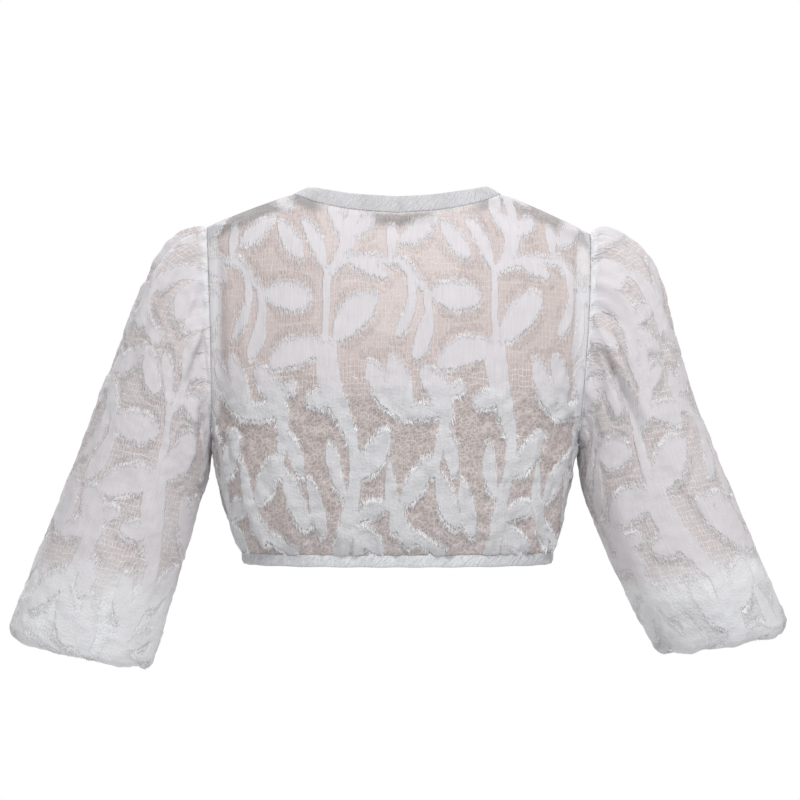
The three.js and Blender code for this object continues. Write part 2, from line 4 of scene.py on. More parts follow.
import bpy
import numpy as np
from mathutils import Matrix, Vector


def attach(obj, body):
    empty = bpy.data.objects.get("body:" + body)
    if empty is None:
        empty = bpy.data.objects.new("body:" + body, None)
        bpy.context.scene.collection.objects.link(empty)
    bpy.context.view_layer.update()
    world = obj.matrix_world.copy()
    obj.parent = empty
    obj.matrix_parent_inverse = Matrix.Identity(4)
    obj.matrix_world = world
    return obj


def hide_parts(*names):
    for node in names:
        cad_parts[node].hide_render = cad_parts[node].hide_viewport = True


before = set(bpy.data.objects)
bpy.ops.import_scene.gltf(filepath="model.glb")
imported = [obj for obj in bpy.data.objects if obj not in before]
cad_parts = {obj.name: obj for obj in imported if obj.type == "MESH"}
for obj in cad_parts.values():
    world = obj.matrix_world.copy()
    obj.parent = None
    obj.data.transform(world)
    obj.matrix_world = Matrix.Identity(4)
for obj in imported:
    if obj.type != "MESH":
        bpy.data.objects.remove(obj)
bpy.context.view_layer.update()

bl_info = {
    "name": "Dirndl Blouse",
    "version": (1, 0, 0),
    "blender": (4, 5, 0),
    "location": "View3D > Sidebar > Blouse",
    "description": "Sheer blouse with woven leaves, clipped threads and an elastic hem",
    "category": "Add Mesh",
}

MM = 0.001

# Sizes of the worn form, those of the solids in the frame
HEM_Z = -363
HEM_SEAM_Z = -351
UNDERARM_Z = -247
NECK_X, NECK_Z = 104, 5
EDGE_GAP = 0.02
BODY_ROUNDNESS = 2.3
ARMHOLE_DEPTH = 47
NECK_SHARE = 0.5
SHOULDER_CURVE = 0.85
PULL_FROM, PULL_POWER = 0.35, 1.5
SHOULDER_SLOPE = math.radians(26)
NECKBAND_HEIGHT = 17
SEAM_GAP = 0.1
EDGE_FADE = 0.08
SEAM_FILL = 5
CAP_FADE = 0.6
# Steps of the cloth: a panel's across, below and above the underarm; a sleeve's round, along and turned in
PANEL_STEPS = (190, 46, 96)
SLEEVE_STEPS = (184, 176)
RETURN_ROWS = 26
THREADS_PER_COLUMN = 2.2
THREAD_TURNS = 3

# Height, half width, sideways lean, depth at the back and at the front
BODY = np.array([
    (-363, 154, 0, 84, -88), (-351, 155.5, 0, 85, -89), (-341, 160, 0.5, 90, -95),
    (-328, 164.5, 1.5, 95, -102), (-300, 172, 3, 101, -112), (-270, 178.5, 3.5, 105, -119),
    (-247, 182, 3, 107, -121), (-200, 184, 2, 110, -119), (-150, 185, 1, 110, -110),
    (-100, 185, 0, 104, -95), (-60, 185, 0, 93, -80), (-30, 185, 0, 78, -64), (5, 185, 0, 52, -42),
], float)
SIDE, LEAN, BACK, FRONT = 1, 2, 3, 4

# Armhole of each side: sign, x at its top, middle and foot, height of its top
ARMHOLES = {"left": (1, 190, 184, 185, -27), "right": (-1, 192, 187, 179, -34)}

# Neck seam from the centre to the shoulder: share along, x, height, degrees the band stands
NECK = {
    BACK: np.array([(0, 0, -17, 24), (0.4, 46, -13, 22), (0.75, 82, -4.5, 14), (1, 104, 5, 8)], float),
    FRONT: np.array([(0, 0, -150, 3), (0.22, 32, -141, 3), (0.5, 64, -104, 4), (0.78, 89, -48, 5),
                     (1, 104, 5, 8)], float),
}
# Height above the hem seam, and how far the elastic's soft gathers stand out there
GATHER_RISE = np.array([(0, 0.4), (12, 2), (35, 1.4), (75, 0.3), (110, 0), (400, 0)], float)

# Sleeve sections: inner x and z, outer x and z, half depth, middle, bow, gather, wave
SLEEVES = {
    "left": np.array([
        (185, -247, 190, -27, 47, 0, -3.5, 0, 0), (185.6, -249, 208, -31, 52, 0, -1, 2.2, 0),
        (186.4, -253, 226, -43, 56, -1, 0, 3, 0), (187, -258, 242, -65, 59, -1, 0, 2.6, 0),
        (187.6, -264, 256, -93, 61, -2, 0, 1.8, 0), (189, -273, 270, -125, 62, -3, 0, 1.1, 0),
        (193, -286, 282, -158, 62, -4, 0, 0.5, 0.3), (199, -304, 297, -193, 62, -5, 0, 0.2, 0.4),
        (206, -327, 311, -232, 62, -7, 0, 0, 0.5), (213, -352, 328, -274, 63, -9, 0, 0, 0.6),
        (221, -379, 345, -316, 64, -11, 0, 0, 0.8), (230, -408, 362, -358, 65, -13, 0, 0, 1.1),
        (238, -437, 378, -397, 65, -15, 0, 0, 1.6), (245, -459, 389, -426, 64, -16, 0, 0, 2),
    ], float),
    "right": np.array([
        (179, -247, 192, -34, 47, 0, 1.5, 0, 0), (179.6, -249, 208, -31, 52, 0, 1, 2.4, 0),
        (180.4, -253, 228, -40, 56, -1, 0, 3.2, 0), (181, -258, 248, -56, 59, -1, 0, 2.8, 0),
        (181.6, -264, 262, -82, 61, -2, 0, 2, 0), (182.4, -272, 272, -114, 62, -3, 0, 1.2, 0),
        (185, -286, 281, -149, 62, -4, 0, 0.6, 0.3), (191, -304, 293, -188, 62, -5, 0, 0.2, 0.4),
        (200, -327, 309, -229, 62, -7, 0, 0, 0.5), (211, -354, 328, -276, 63, -9, 0, 0, 0.7),
        (224, -383, 346, -319, 64, -11, 0, 0, 0.9), (237, -410, 362, -357, 65, -13, 0, 0, 1.2),
        (249, -431, 379, -395, 65, -15, 0, 0, 1.7), (257, -444, 391, -421, 64, -16, 0, 0, 2),
    ], float),
}
# The sleeve's end rolls under and runs back up inside: step, distance on, size
SLEEVE_RETURN = np.array([(0, 0, 1), (1, 7, 0.96), (2, 11, 0.87), (3, 3, 0.78), (4, -40, 0.68)], float)

# Soft folds as lines on the front view: side (1 is the back), x0, z0, x1, z1, height, spread
BODY_FOLDS = (
    (1, 166, -52, 160, -205, 3.2, 7), (1, 150, -92, 147, -215, 2.4, 7),
    (1, -170, -60, -163, -212, 3.2, 7), (1, -152, -84, -150, -200, 2.2, 8),
    (1, -140, -210, -96, -290, 2, 10), (-1, 160, -60, 140, -190, 3, 9),
    (-1, -160, -64, -140, -195, 3, 9), (-1, 120, -300, 60, -215, 2.4, 11),
    (-1, -118, -304, -64, -220, 2.4, 11),
    (1, 120, -262, 104, -340, 1.6, 6), (1, 60, -300, 52, -346, 1.4, 5),
    (1, -40, -290, -52, -346, 1.3, 5), (1, -118, -250, -132, -338, 1.8, 6),
    (1, 158, -238, 140, -330, 1.8, 6), (-1, 30, -270, 38, -345, 1.6, 6),
    (-1, -76, -280, -60, -345, 1.6, 6),
)
SLEEVE_FOLDS = {
    "left": (
        (1, 193, -88, 222, -150, 4.2, 6), (1, 192, -122, 212, -178, 3.4, 5),
        (1, 192, -124, 210, -176, 3.2, 3.4), (1, 198, -190, 206, -290, 4, 7),
        (1, 262, -250, 236, -345, 2.6, 9),
        (-1, 196, -96, 228, -170, 4, 7), (-1, 250, -260, 282, -350, 2.8, 9),
        (1, 191, -84, 206, -122, -3.2, 2.6), (1, 190, -134, 204, -180, -3.4, 2.8),
        (1, 214, -60, 240, -84, 1.8, 4), (1, 206, -48, 226, -60, 1.5, 3.6),
        (1, 224, -196, 214, -262, 2.2, 6), (1, 300, -330, 262, -396, 2, 8),
        (-1, 300, -330, 268, -400, 2, 8),
    ),
    "right": (
        (1, -193, -116, -242, -216, 5, 2.8), (1, -220, -170, -258, -246, 3.4, 3),
        (1, -194, -134, -234, -222, -3.4, 2.8), (1, -214, -176, -246, -250, -3, 3),
        (1, -256, -246, -328, -345, 3.6, 7),
        (1, -194, -130, -214, -205, 3.6, 5), (1, -206, -262, -238, -372, 2.8, 8),
        (-1, -198, -98, -230, -176, 4, 7), (-1, -244, -266, -280, -352, 2.8, 9),
        (1, -210, -58, -240, -92, 1.8, 4), (1, -226, 15, -268, -86, 1.2, 4),
        (1, -232, 15, -250, -96, 1.4, 4), (1, -204, -112, -240, -200, -2, 3.6),
        (1, -262, -262, -312, -338, -1.8, 4), (-1, -290, -320, -264, -396, 2, 8),
    ),
}

# One repeat of the weave's leaves, charted in steps across and down from the foot of the neck stem.
# A step is just under 1 mm.
REPEAT_ACROSS, REPEAT_DOWN = 171, 352
CHART_STEPS = 1.034
# How much closer the gathers draw the weave together at the hem
DRAWN_IN = 1.13
# Where the chart starts on each piece, across and down; on the panels it hangs from this height
CHART_START = {BACK: (71.5, 0), FRONT: (157, 34), "left": (38, 330), "right": (118, 306)}
CHART_TOP_Z = -6.6
# Leaves: foot x, y, tip x, y, width, and how far the middle bends in x and y
LEAVES = (
    (-58, 14, -96, 42, 20, 0, 0), (-56, 18, -27, 57, 19, 0, 0), (-3, 71, -30, 16, 16, 5, -2),
    (20, 45, 0, 3, 15, 3, -2), (24, 35, 47, 16, 16, 0, 0), (18, 60, 60, 77, 17, 2, -4),
    (65, 55, 65, 23, 12, 1, 0), (87, 95, 70, 138, 13, 3, 1), (102, 108, 90, 160, 17, 3, 1),
    (-68, 91, -17, 98, 29, 0, 1), (10, 142, 48, 96, 31, -2, -3), (2, 150, -56, 166, 30, -1, -8),
    (11, 196, -17, 201, 20, 0, 1), (77, 217, 44, 158, 20, -2, 3), (85, 215, 65, 156, 21, 3, 0),
    (-46, 210, -72, 168, 24, 2, 0), (-45, 231, -33, 277, 15, 2, 0), (-57, 256, -88, 302, 22, -1, 2),
    (-50, 272, -29, 330, 20, -2, 0), (-25, 277, -13, 340, 16, 2, 0), (17, 300, 2, 243, 15, -2, 2),
    (31, 277, 63, 232, 25, 2, 3), (67, 260, 70, 320, 13, -1, 0), (28, 322, 60, 308, 17, 0, -4),
    (67, 304, 86, 348, 15, 2, 0), (20, 325, 54, 350, 19, 0, 2), (-90, 300, -104, 334, 12, 0, 0),
)
# Stems: points across and down with the width at each
STEMS = (
    ((0, 68, 8), (0, 110, 7), (0, 150, 6)),
    ((4, 70, 8), (20, 45, 16), (26, 12, 12), (27, -6, 10)),
    ((4, 70, 8), (24, 58, 9), (47, 58, 9), (62, 60, 9), (75, 60, 9), (86, 75, 9)),
    ((71, 57, 8), (84, 72, 9), (87, 98, 9)),
    ((84, 72, 8), (100, 90, 8), (103, 112, 8)),
    ((1, 150, 22), (3, 172, 24), (9, 195, 21), (20, 220, 15), (27, 240, 12), (29, 262, 12), (28, 282, 13),
     (23, 305, 15), (15, 330, 16), (8, 352, 17)),
    ((-50, 208, 17), (-74, 213, 17), (-92, 213, 14)),
    ((-56, 196, 12), (-36, 188, 12)),
    ((-46, 212, 14), (-50, 240, 10), (-54, 262, 9), (-54, 274, 9)),
    ((-100, 322, 9), (-80, 338, 10), (-50, 354, 12)),
)


def size_property(name, description, value):
    return bpy.props.FloatProperty(name=name, description=description, default=value, unit="LENGTH")


class BlouseSizes(bpy.types.PropertyGroup):
    """Sizes that may be changed."""

    cloth: size_property("Cloth", "Thickness of the sheer cloth", 0.0005)
    leaf_rise: size_property("Leaf rise", "How far a woven leaf stands out", 0.0009)
    crinkle: size_property("Crinkle", "Height of the crinkles above the hem", 0.0027)
    thread: size_property("Thread", "Mean length of a clipped thread", 0.0044)
    thread_width: size_property("Thread width", "Width of a clipped thread at its root", 0.0009)


def colour_property(name, description, value):
    return bpy.props.FloatVectorProperty(
        name=name, description=description, default=value, subtype="COLOR", size=3, min=0, max=1)


class BlouseColours(bpy.types.PropertyGroup):
    """Colours that may be changed."""

    ground: colour_property("Ground", "Sheer ground between the leaves", (0.675, 0.587, 0.57))
    # darker than the ground, for the crinkled cloth and as painted shade of the lower body
    low_ground: colour_property("Low ground", "Crinkled ground above the hem", (0.54, 0.465, 0.45))
    ground_thread: colour_property("Ground thread", "Heavier threads of the ground", (0.85, 0.785, 0.77))
    leaf: colour_property("Leaf", "Woven leaves", (0.70, 0.672, 0.70))
    low_leaf: colour_property("Low leaf", "Woven leaves above the hem", (0.68, 0.68, 0.705))
    double: colour_property("Doubled cloth", "Cloth that lies double at seams and ends", (0.83, 0.845, 0.87))
    thread: colour_property("Thread", "Clipped ends of the leaf threads", (0.85, 0.845, 0.865))
    band: colour_property("Band", "Neckband and hem casing", (0.68, 0.68, 0.705))
    label: colour_property("Label", "Blank label", (0.09, 0.092, 0.1))
    floor: colour_property("Floor", "Plain pale floor", (0.8, 0.8, 0.8))


def lerp(a, b, t):
    return a + (b - a) * t


def smooth(value, low, high):
    t = np.clip((value - low) / (high - low), 0, 1)
    return t * t * (3 - 2 * t)


def read(table, at, column):
    """A column of a table at any value of its first column, on a smooth curve through the rows."""
    key, y = table[:, 0], table[:, column]
    slope = np.gradient(y)
    slope[1:-1] = (y[2:] - y[:-2]) / (key[2:] - key[:-2])
    slope[0] = (y[1] - y[0]) / (key[1] - key[0])
    slope[-1] = (y[-1] - y[-2]) / (key[-1] - key[-2])
    i = np.clip(np.searchsorted(key, at, side="left") - 1, 0, len(key) - 2)
    span = key[i + 1] - key[i]
    u = np.clip((at - key[i]) / span, 0, 1)
    bulge = u * (1 - u) * span * ((1 - u) * slope[i] - u * slope[i + 1])
    return lerp(y[i], y[i + 1], u * u * (3 - 2 * u)) + bulge


def unit(vectors):
    return vectors / np.maximum(np.linalg.norm(vectors, axis=-1, keepdims=True), 1e-9)


def chance(*whole):
    """A repeatable number from 0 to 1 for each set of whole numbers."""
    total = sum(n * k for n, k in zip(whole, (127.1, 311.7, 74.7, 53.3)))
    value = np.sin(total) * 43758.5453
    return value - np.floor(value)


def lumps(points, size, seed):
    """Soft uneven lumps from -1 to 1 of one size at points of space."""
    at = points / size
    low = np.floor(at)
    f = at - low
    f = f * f * (3 - 2 * f)
    total = 0
    for step in np.ndindex(2, 2, 2):
        corner = chance(*(low[..., k] + step[k] for k in range(3)), seed)
        total = total + corner * np.prod([abs(1 - step[k] - f[..., k]) for k in range(3)], axis=0)
    return 2 * total - 1


def fold_lift(folds, face, x, z):
    """How far the soft folds lift points that lie at x and z on a face."""
    lift = np.zeros_like(x)
    for side, x0, z0, x1, z1, height, spread in folds:
        dx, dz = x1 - x0, z1 - z0
        along = np.clip(((x - x0) * dx + (z - z0) * dz) / (dx * dx + dz * dz), 0, 1)
        away = np.hypot(x - x0 - along * dx, z - z0 - along * dz) / spread
        ridge = height * np.sin(math.pi * lerp(0.1, 0.9, along)) * np.exp(-away * away)
        lift = lift + np.where(face == side, ridge, 0)
    return lift


def stroke(x, y, points):
    """Distance from a stroke through points with a width at each; inside it is below 0."""
    nearest = np.full(x.shape, 1e3)
    for (ax, ay, aw), (bx, by, bw) in zip(points[:-1], points[1:]):
        dx, dy = bx - ax, by - ay
        t = np.clip(((x - ax) * dx + (y - ay) * dy) / (dx * dx + dy * dy), 0, 1)
        nearest = np.minimum(nearest, np.hypot(x - ax - t * dx, y - ay - t * dy) - lerp(aw, bw, t) / 2)
    return nearest


def leaf_stroke(leaf):
    """A leaf as a stroke that swells and comes to a point."""
    x0, y0, x1, y1, width, bend_x, bend_y = leaf
    t = np.linspace(0, 1, 13)
    swell = t ** 1.2
    breadth = width * (4 * swell * (1 - swell)) ** 0.6
    bow = 4 * t * (1 - t)
    return list(zip(lerp(x0, x1, t) + bend_x * bow, lerp(y0, y1, t) + bend_y * bow, breadth))


def leaf_chart():
    """Distance to the nearest leaf or stem over one repeat; inside one it is below 0."""
    y, x = np.mgrid[0:REPEAT_DOWN, 0:REPEAT_ACROSS].astype(float)
    repeat = np.array([REPEAT_ACROSS, REPEAT_DOWN])
    reach, blend, margin = 14.0, 3.0, 30
    chart = np.full(x.shape, reach)
    for points in [leaf_stroke(leaf) for leaf in LEAVES] + list(STEMS):
        first, last = np.min(points, 0)[:2], np.max(points, 0)[:2]
        for turn in np.ndindex(3, 3):
            shift = repeat * (np.array(turn) - 1)
            if np.any(last + shift < -margin) or np.any(first + shift > repeat + margin):
                continue
            away = np.minimum(stroke(x - shift[0], y - shift[1], points), reach)
            near = np.maximum(blend - abs(chart - away), 0) / blend
            chart = np.minimum(chart, away) - near * near * blend / 4
    return chart


CHART = leaf_chart()


def chart_at(x, y):
    """The leaf chart at any place, over and over."""
    x0, y0 = np.floor(x), np.floor(y)
    fx, fy = x - x0, y - y0
    i, j = x0.astype(int) % REPEAT_ACROSS, y0.astype(int) % REPEAT_DOWN
    k, m = (i + 1) % REPEAT_ACROSS, (j + 1) % REPEAT_DOWN
    upper = lerp(CHART[j, i], CHART[j, k], fx)
    lower = lerp(CHART[m, i], CHART[m, k], fx)
    return lerp(upper, lower, fy)


def woven_leaf(x, y):
    """Distance to a leaf's edge at a place of the chart, and how it grows upwards there."""
    step = 1.5
    return chart_at(x, y) / CHART_STEPS, (chart_at(x, y - step) - chart_at(x, y + step)) / (2 * step)


def armhole_of(left):
    """Sign, top x, middle x, foot x and top z of each point's own armhole."""
    return [np.where(left, a, b) for a, b in zip(ARMHOLES["left"], ARMHOLES["right"])]


def oval(q):
    return (1 - np.minimum(abs(q), 1) ** BODY_ROUNDNESS) ** (1 / BODY_ROUNDNESS)


def panel_edge(left, z):
    """x and depth of a panel's edge at height z: side seam, armhole or shoulder seam."""
    sign, top_x, middle_x, low_x, top_z = armhole_of(left)
    side = sign * read(BODY, z, SIDE) + read(BODY, z, LEAN)
    up = np.clip((z - top_z) / (NECK_Z - top_z), 0, 1)
    shoulder = sign * (NECK_X + (top_x - NECK_X) * (1 - up) ** SHOULDER_CURVE)
    cosine = np.clip((2 * z - top_z - UNDERARM_Z) / (top_z - UNDERARM_Z), -1, 1)
    bow = (top_x + low_x) / 2 - middle_x
    hole = sign * (middle_x + (top_x - low_x) / 2 * cosine + bow * cosine ** 2 - EDGE_GAP)
    on_hole = (z > UNDERARM_Z) & (z < top_z)
    x = np.where(z <= UNDERARM_Z, side, np.where(on_hole, hole, shoulder))
    return x, np.where(on_hole, ARMHOLE_DEPTH * np.sqrt(1 - cosine ** 2), 0)


def panel_depth(which, x, z):
    lean = read(BODY, z, LEAN)
    edge_x, edge_depth = panel_edge(x >= lean, z)
    middle = abs(read(BODY, z, which))
    out = np.clip((x - lean) / (edge_x - lean), 0, 1) * oval(edge_depth / middle)
    depth = np.maximum(middle * oval(out), EDGE_GAP)
    return depth if which == BACK else -depth


def row_normals(points, facing, wrap):
    """Outward normals of a grid of points."""
    if wrap:
        across = np.roll(points, -1, 1) - np.roll(points, 1, 1)
    else:
        across = np.gradient(points, axis=1)
    return unit(np.cross(across, np.gradient(points, axis=0))) * facing


def run_along(points, axis):
    """Length along a grid's rows or columns from its first point."""
    steps = np.linalg.norm(np.diff(points, axis=axis), axis=-1)
    start = np.zeros_like(np.take(steps, [0], axis=axis))
    return np.concatenate([start, np.cumsum(steps, axis=axis)], axis=axis)


def panel_grid(which, columns, rows_low, rows_high, sizes):
    """The points of a panel with its folds, gathers and raised leaves, and what its cloth shows."""
    face = 1 if which == BACK else -1
    s = np.linspace(-1, 1, columns + 1)[None, :]
    left = s >= 0
    low = np.linspace(0, 1, rows_low, endpoint=False)
    t = np.linspace(0, 1, rows_high + 1)
    high = 0.6 * t + 0.4 * (1 - np.cos(math.pi * t)) / 2
    tops = [ARMHOLES["left"][4], ARMHOLES["right"][4]]
    low_heights = lerp(HEM_SEAM_Z, UNDERARM_Z, low)
    heights = [np.concatenate([low_heights, lerp(UNDERARM_Z, top, high)]) for top in tops]
    shares = [(h - HEM_SEAM_Z) / (top - HEM_SEAM_Z) for h, top in zip(heights, tops)]
    own = np.where(left, shares[0][:, None], shares[1][:, None])
    share = lerp((shares[0] + shares[1])[:, None] / 2, own, abs(s))
    height = np.where(left, heights[0][:, None], heights[1][:, None])
    sign, top_edge_x, _, _, top_z = armhole_of(left)

    # Each column runs from the hem seam up to its own place on the neck or the shoulder
    along = abs(s) / NECK_SHARE
    shoulder_z = lerp(NECK_Z, top_z, (abs(s) - NECK_SHARE) / (1 - NECK_SHARE))
    on_neck = along <= 1
    top_x = np.where(on_neck, sign * read(NECK[which], along, 1), panel_edge(left, shoulder_z)[0])
    up_to = np.where(on_neck, read(NECK[which], along, 2), shoulder_z)
    z = lerp(HEM_SEAM_Z, up_to, share)
    edge_x, edge_depth = panel_edge(left, height)
    lean = read(BODY, height, LEAN)
    reach = oval(edge_depth / abs(read(BODY, height, which)))
    spread = np.sin(abs(s) * np.arcsin(reach)) / reach
    pull = smooth(share, PULL_FROM, 1) ** PULL_POWER
    x = lerp(lerp(lean, edge_x, spread), top_x * edge_x / (sign * top_edge_x), pull)
    y = panel_depth(which, x, z)
    ends = np.broadcast_to(abs(s) == 1, x.shape)
    x = np.where(ends, edge_x, x)
    y = np.where(ends, face * np.maximum(edge_depth, EDGE_GAP), y)
    y = y + face * SEAM_FILL * edge_depth / ARMHOLE_DEPTH * smooth(1 - abs(s), 0.09, 0)
    points = np.stack([x, y, z], -1)

    # The weave hangs straight down and is drawn together above the hem
    middle = columns // 2
    across = run_along(points, 1)
    across = across - across[:, middle:middle + 1]
    up = run_along(points, 0)
    drawn = CHART_STEPS * lerp(1, DRAWN_IN, smooth(z, -170, -310))
    start_x, start_y = CHART_START[which]
    leaf, slope = woven_leaf(start_x - face * drawn * across, start_y + (CHART_TOP_Z - z) * CHART_STEPS)
    leaf = leaf + 1.2 * lumps(points, 7, 13) - 0.5 * smooth(z, -220, -330)

    # Gathers, folds, crinkles and leaves stand out of the cloth
    from_hem = z - HEM_SEAM_Z
    edge_fade = smooth(1 - abs(s), 0, EDGE_FADE)
    top_fade = smooth(share, 1, 0.94)
    foot_fade = smooth(from_hem, 0, 1.4)
    gather = read(GATHER_RISE, from_hem, 1) * np.cos(math.pi * s * 10)
    fine = 0.9 * np.cos(math.pi * s * 27 + 1.3 * np.sin(s * 31)) * smooth(from_hem, 34, 2)
    finest = 0.35 * np.cos(math.pi * s * 52 + 2 * np.sin(s * 23)) * smooth(from_hem, 16, 1)
    fold = fold_lift(BODY_FOLDS, face, x, z) * top_fade
    low_part = smooth(z, -150, -215)
    crinkle_size = sizes.crinkle / MM
    ridge = 1 - 2 * abs(lumps(points, 14, 21))
    rough = lumps(points, 11, 3) * 0.6 + lumps(points, 5.5, 5) * 0.4 + ridge * 0.35
    crinkle = rough * lerp(0.17, 1.1, low_part) * crinkle_size * smooth(from_hem, 0, 5)
    raised = smooth(leaf, 0.8, -1.2) * sizes.leaf_rise / MM * lerp(0.4, 1, low_part)
    lift = ((gather + fine + finest) * foot_fade + fold + crinkle * top_fade + raised) * edge_fade
    lift[-1, :] = 0
    normals = row_normals(points, -face, False)
    points = points + normals * lift[..., None]

    # Seam cloth lies double; painted shade darkens the cloth where the dark label lies behind the neck, at
    # the shoulders and at the lower sides
    from_side = np.minimum(abs(across - across[:, :1]), abs(across[:, -1:] - across))
    from_top = up[-1:] - up
    on_armhole = smooth(z, -238, -214)
    wide = lerp(10, np.where(left, 19, 24), on_armhole)
    double = np.maximum(smooth(from_side, wide, wide - 6) * lerp(0.55, 0.72, on_armhole),
                        smooth(from_top, 9, 6) * 0.25)
    # painted shade where the dark label lies behind the cloth
    behind = smooth(abs(x + 5), 32, 28) * smooth(from_top, 1, 3) * smooth(from_top, 19, 14)
    # painted shade at the shoulders, stronger on the left and weaker on the front
    drop = up_to - z
    on_shoulder = smooth(abs(s), 0.46, 0.54)
    at_shoulder = smooth(drop, lerp(14, 22, on_shoulder), lerp(6, 12, on_shoulder))
    at_shoulder = at_shoulder * smooth(abs(s), 0.3, 0.38) * np.where(left, 0.74, 0.55)
    at_shoulder = at_shoulder * (1 if which == BACK else 0.4)
    # painted shade toward the lower sides
    at_side = smooth(abs(s), 0.72, 0.98) * smooth(z, -170, -260) * 0.25
    shade = np.maximum(behind * (0.6 if which == BACK else 0), at_shoulder) + at_side
    return {
        "points": points, "normals": row_normals(points, -face, False), "across": across, "up": up,
        "leaf": leaf, "leaf_slope": slope, "double": double, "veil": smooth(from_hem, 60, 5) * 0.2,
        "shade": shade, "crinkle": low_part, "wrap": False, "facing": -face,
    }


def sleeve_grid(side, steps, rows, sizes):
    """The points of a sleeve from the armhole to the end of its turned-in return."""
    sign = ARMHOLES[side][0]
    table = SLEEVES[side]
    table = np.column_stack([np.linspace(0, 1, len(table)), table])
    t = np.concatenate([np.linspace(0, 1, rows + 1), np.ones(RETURN_ROWS)])
    column = [read(table, t, c)[:, None] for c in range(1, 10)]
    in_x, in_z, out_x, out_z, deep, middle, bow, gather, wave = column
    turn = np.concatenate([np.zeros(rows + 1), np.linspace(0, 4, RETURN_ROWS + 1)[1:]])
    on, size = read(SLEEVE_RETURN, turn, 1)[:, None], read(SLEEVE_RETURN, turn, 2)[:, None]
    down = unit(np.array([out_z[-1, 0] - in_z[-1, 0], in_x[-1, 0] - out_x[-1, 0]]))
    theta = (2 * math.pi * np.arange(steps) / steps - math.pi)[None, :]
    cosine, sine = np.cos(theta), np.sin(theta)
    # Each ring is an oval from its inner to its outer point; 0 is the outer side
    x = sign * (out_x + in_x) / 2 + sign * (out_x - in_x) / 2 * cosine * size
    x = x + sign * bow * sine * sine + sign * down[0] * on
    x[0] = x[0] + sign * EDGE_GAP
    y = middle + deep * size * sine + SEAM_FILL * sine * smooth(t, 0.045, 0)[:, None]
    z = (out_z + in_z) / 2 + (out_z - in_z) / 2 * cosine * size + down[1] * on
    points = np.stack([x, y, z], -1)

    closed = np.concatenate([points, points[:, :1]], 1)
    across = run_along(closed, 1)
    across = across - across[:, steps // 2:steps // 2 + 1]
    along = run_along(closed, 0)
    up = along[rows:rows + 1] - along
    from_end = up[:, :-1]
    turned = np.arange(rows + RETURN_ROWS + 1)[:, None] > rows
    start_x, start_y = CHART_START[side]
    leaf, slope = woven_leaf(start_x + sign * CHART_STEPS * across[:, :-1], start_y - CHART_STEPS * from_end)
    leaf = leaf + 1.6 * lumps(points, 7, 13) - 2

    # Gathers over the cap, soft folds below it and crinkles toward the end
    over_cap = ((1 + cosine) / 2) ** CAP_FADE
    from_seam = along[:, :-1]
    big = gather * over_cap * np.cos(12 * theta)
    fine = over_cap * np.cos(31 * theta + 1.4 * np.sin(5 * theta)) * smooth(from_seam, 55, 6)
    cuff = wave * 0.4 * np.cos(8 * theta + 0.8)
    face = np.broadcast_to(np.where(sine >= 0, 1, -1), x.shape)
    flank = abs(sine) * np.where(turned, 0, 1)
    fold = fold_lift(SLEEVE_FOLDS[side], face, x, z) * flank
    troughs = [line for line in SLEEVE_FOLDS[side] if line[5] < 0]
    trough = fold_lift(troughs, face, x, z) * flank
    ridge = 1 - 2 * abs(lumps(points, 13, 23))
    rough = lumps(points, 12, 7) * 0.35 + lumps(points, 5.5, 9) * 0.45 + ridge * 0.4
    near_end = smooth(from_end, 75, 20)
    crinkle = rough * sizes.crinkle / MM * lerp(0.45, 0.6, near_end)
    raised = smooth(leaf, 0.8, -1.2) * sizes.leaf_rise / MM * (1 - 0.6 * near_end)
    lift = (big + 1.6 * fine + cuff + fold + crinkle + raised) * smooth(from_seam, 0, 3.5)
    normals = row_normals(points, -sign, True)
    points = points + normals * lift[..., None]

    # The seam and the turned-in end lie double; painted shade darkens the creases, the hollows between the
    # gathers and the end of the right sleeve
    patchy = lumps(points, 30, 17)
    double = np.maximum(smooth(from_seam, 11, 3) * 0.7, smooth(from_end + 16 * patchy, 92, 50) * 0.95)
    in_folds = np.maximum(smooth(trough, -0.5, -2.6) * 0.45, smooth(fine, -0.2, -1) * 0.22)
    in_cuff = smooth(from_end + 10 * patchy, 56, 26) * (0.34 if side == "right" else 0)
    shade = np.maximum(in_folds, in_cuff)
    return {
        "points": points, "normals": row_normals(points, -sign, True), "across": across, "up": up,
        "leaf": leaf, "leaf_slope": slope, "double": double, "veil": 0.56 + 0.2 * patchy,
        "shade": shade, "crinkle": 0.3 + 0.25 * near_end, "wrap": True, "facing": -sign,
    }


def mesh_piece(name, points, quads):
    """A new object from points in millimetres and faces."""
    mesh = bpy.data.meshes.new(name)
    mesh.from_pydata((points.reshape(-1, 3) * MM).tolist(), [], quads.tolist())
    mesh.validate()
    mesh.shade_smooth()
    piece = bpy.data.objects.new(name, mesh)
    bpy.context.scene.collection.objects.link(piece)
    return piece


def grid_faces(rows, columns, wrap, flip):
    """Corner places of a grid's quads, each as row and column; a closed grid ends on column 0."""
    steps = columns if wrap else columns - 1
    j, i = np.mgrid[0:rows - 1, 0:steps]
    corners = [(j, i), (j, i + 1), (j + 1, i + 1), (j + 1, i)]
    if flip:
        corners.reverse()
    row = np.stack([c[0].ravel() for c in corners], -1)
    column = np.stack([c[1].ravel() for c in corners], -1)
    return row, column


def cloth_map(mesh, across, up):
    """The cloth's own map, which says how far across and up each corner lies, in metres."""
    layer = mesh.uv_layers.new(name="cloth")
    layer.data.foreach_set("uv", np.stack([across, up], -1).astype(np.float32).ravel())


# What the cloth shows at each point: distance from a leaf's edge and its rise upwards, cloth that lies
# double, a whiter ground, painted shade (of the label behind, at the shoulders, the sides, the creases and a
# cuff), and how crinkled it is
CLOTH_VALUES = ("leaf", "leaf_slope", "double", "veil", "shade", "crinkle")


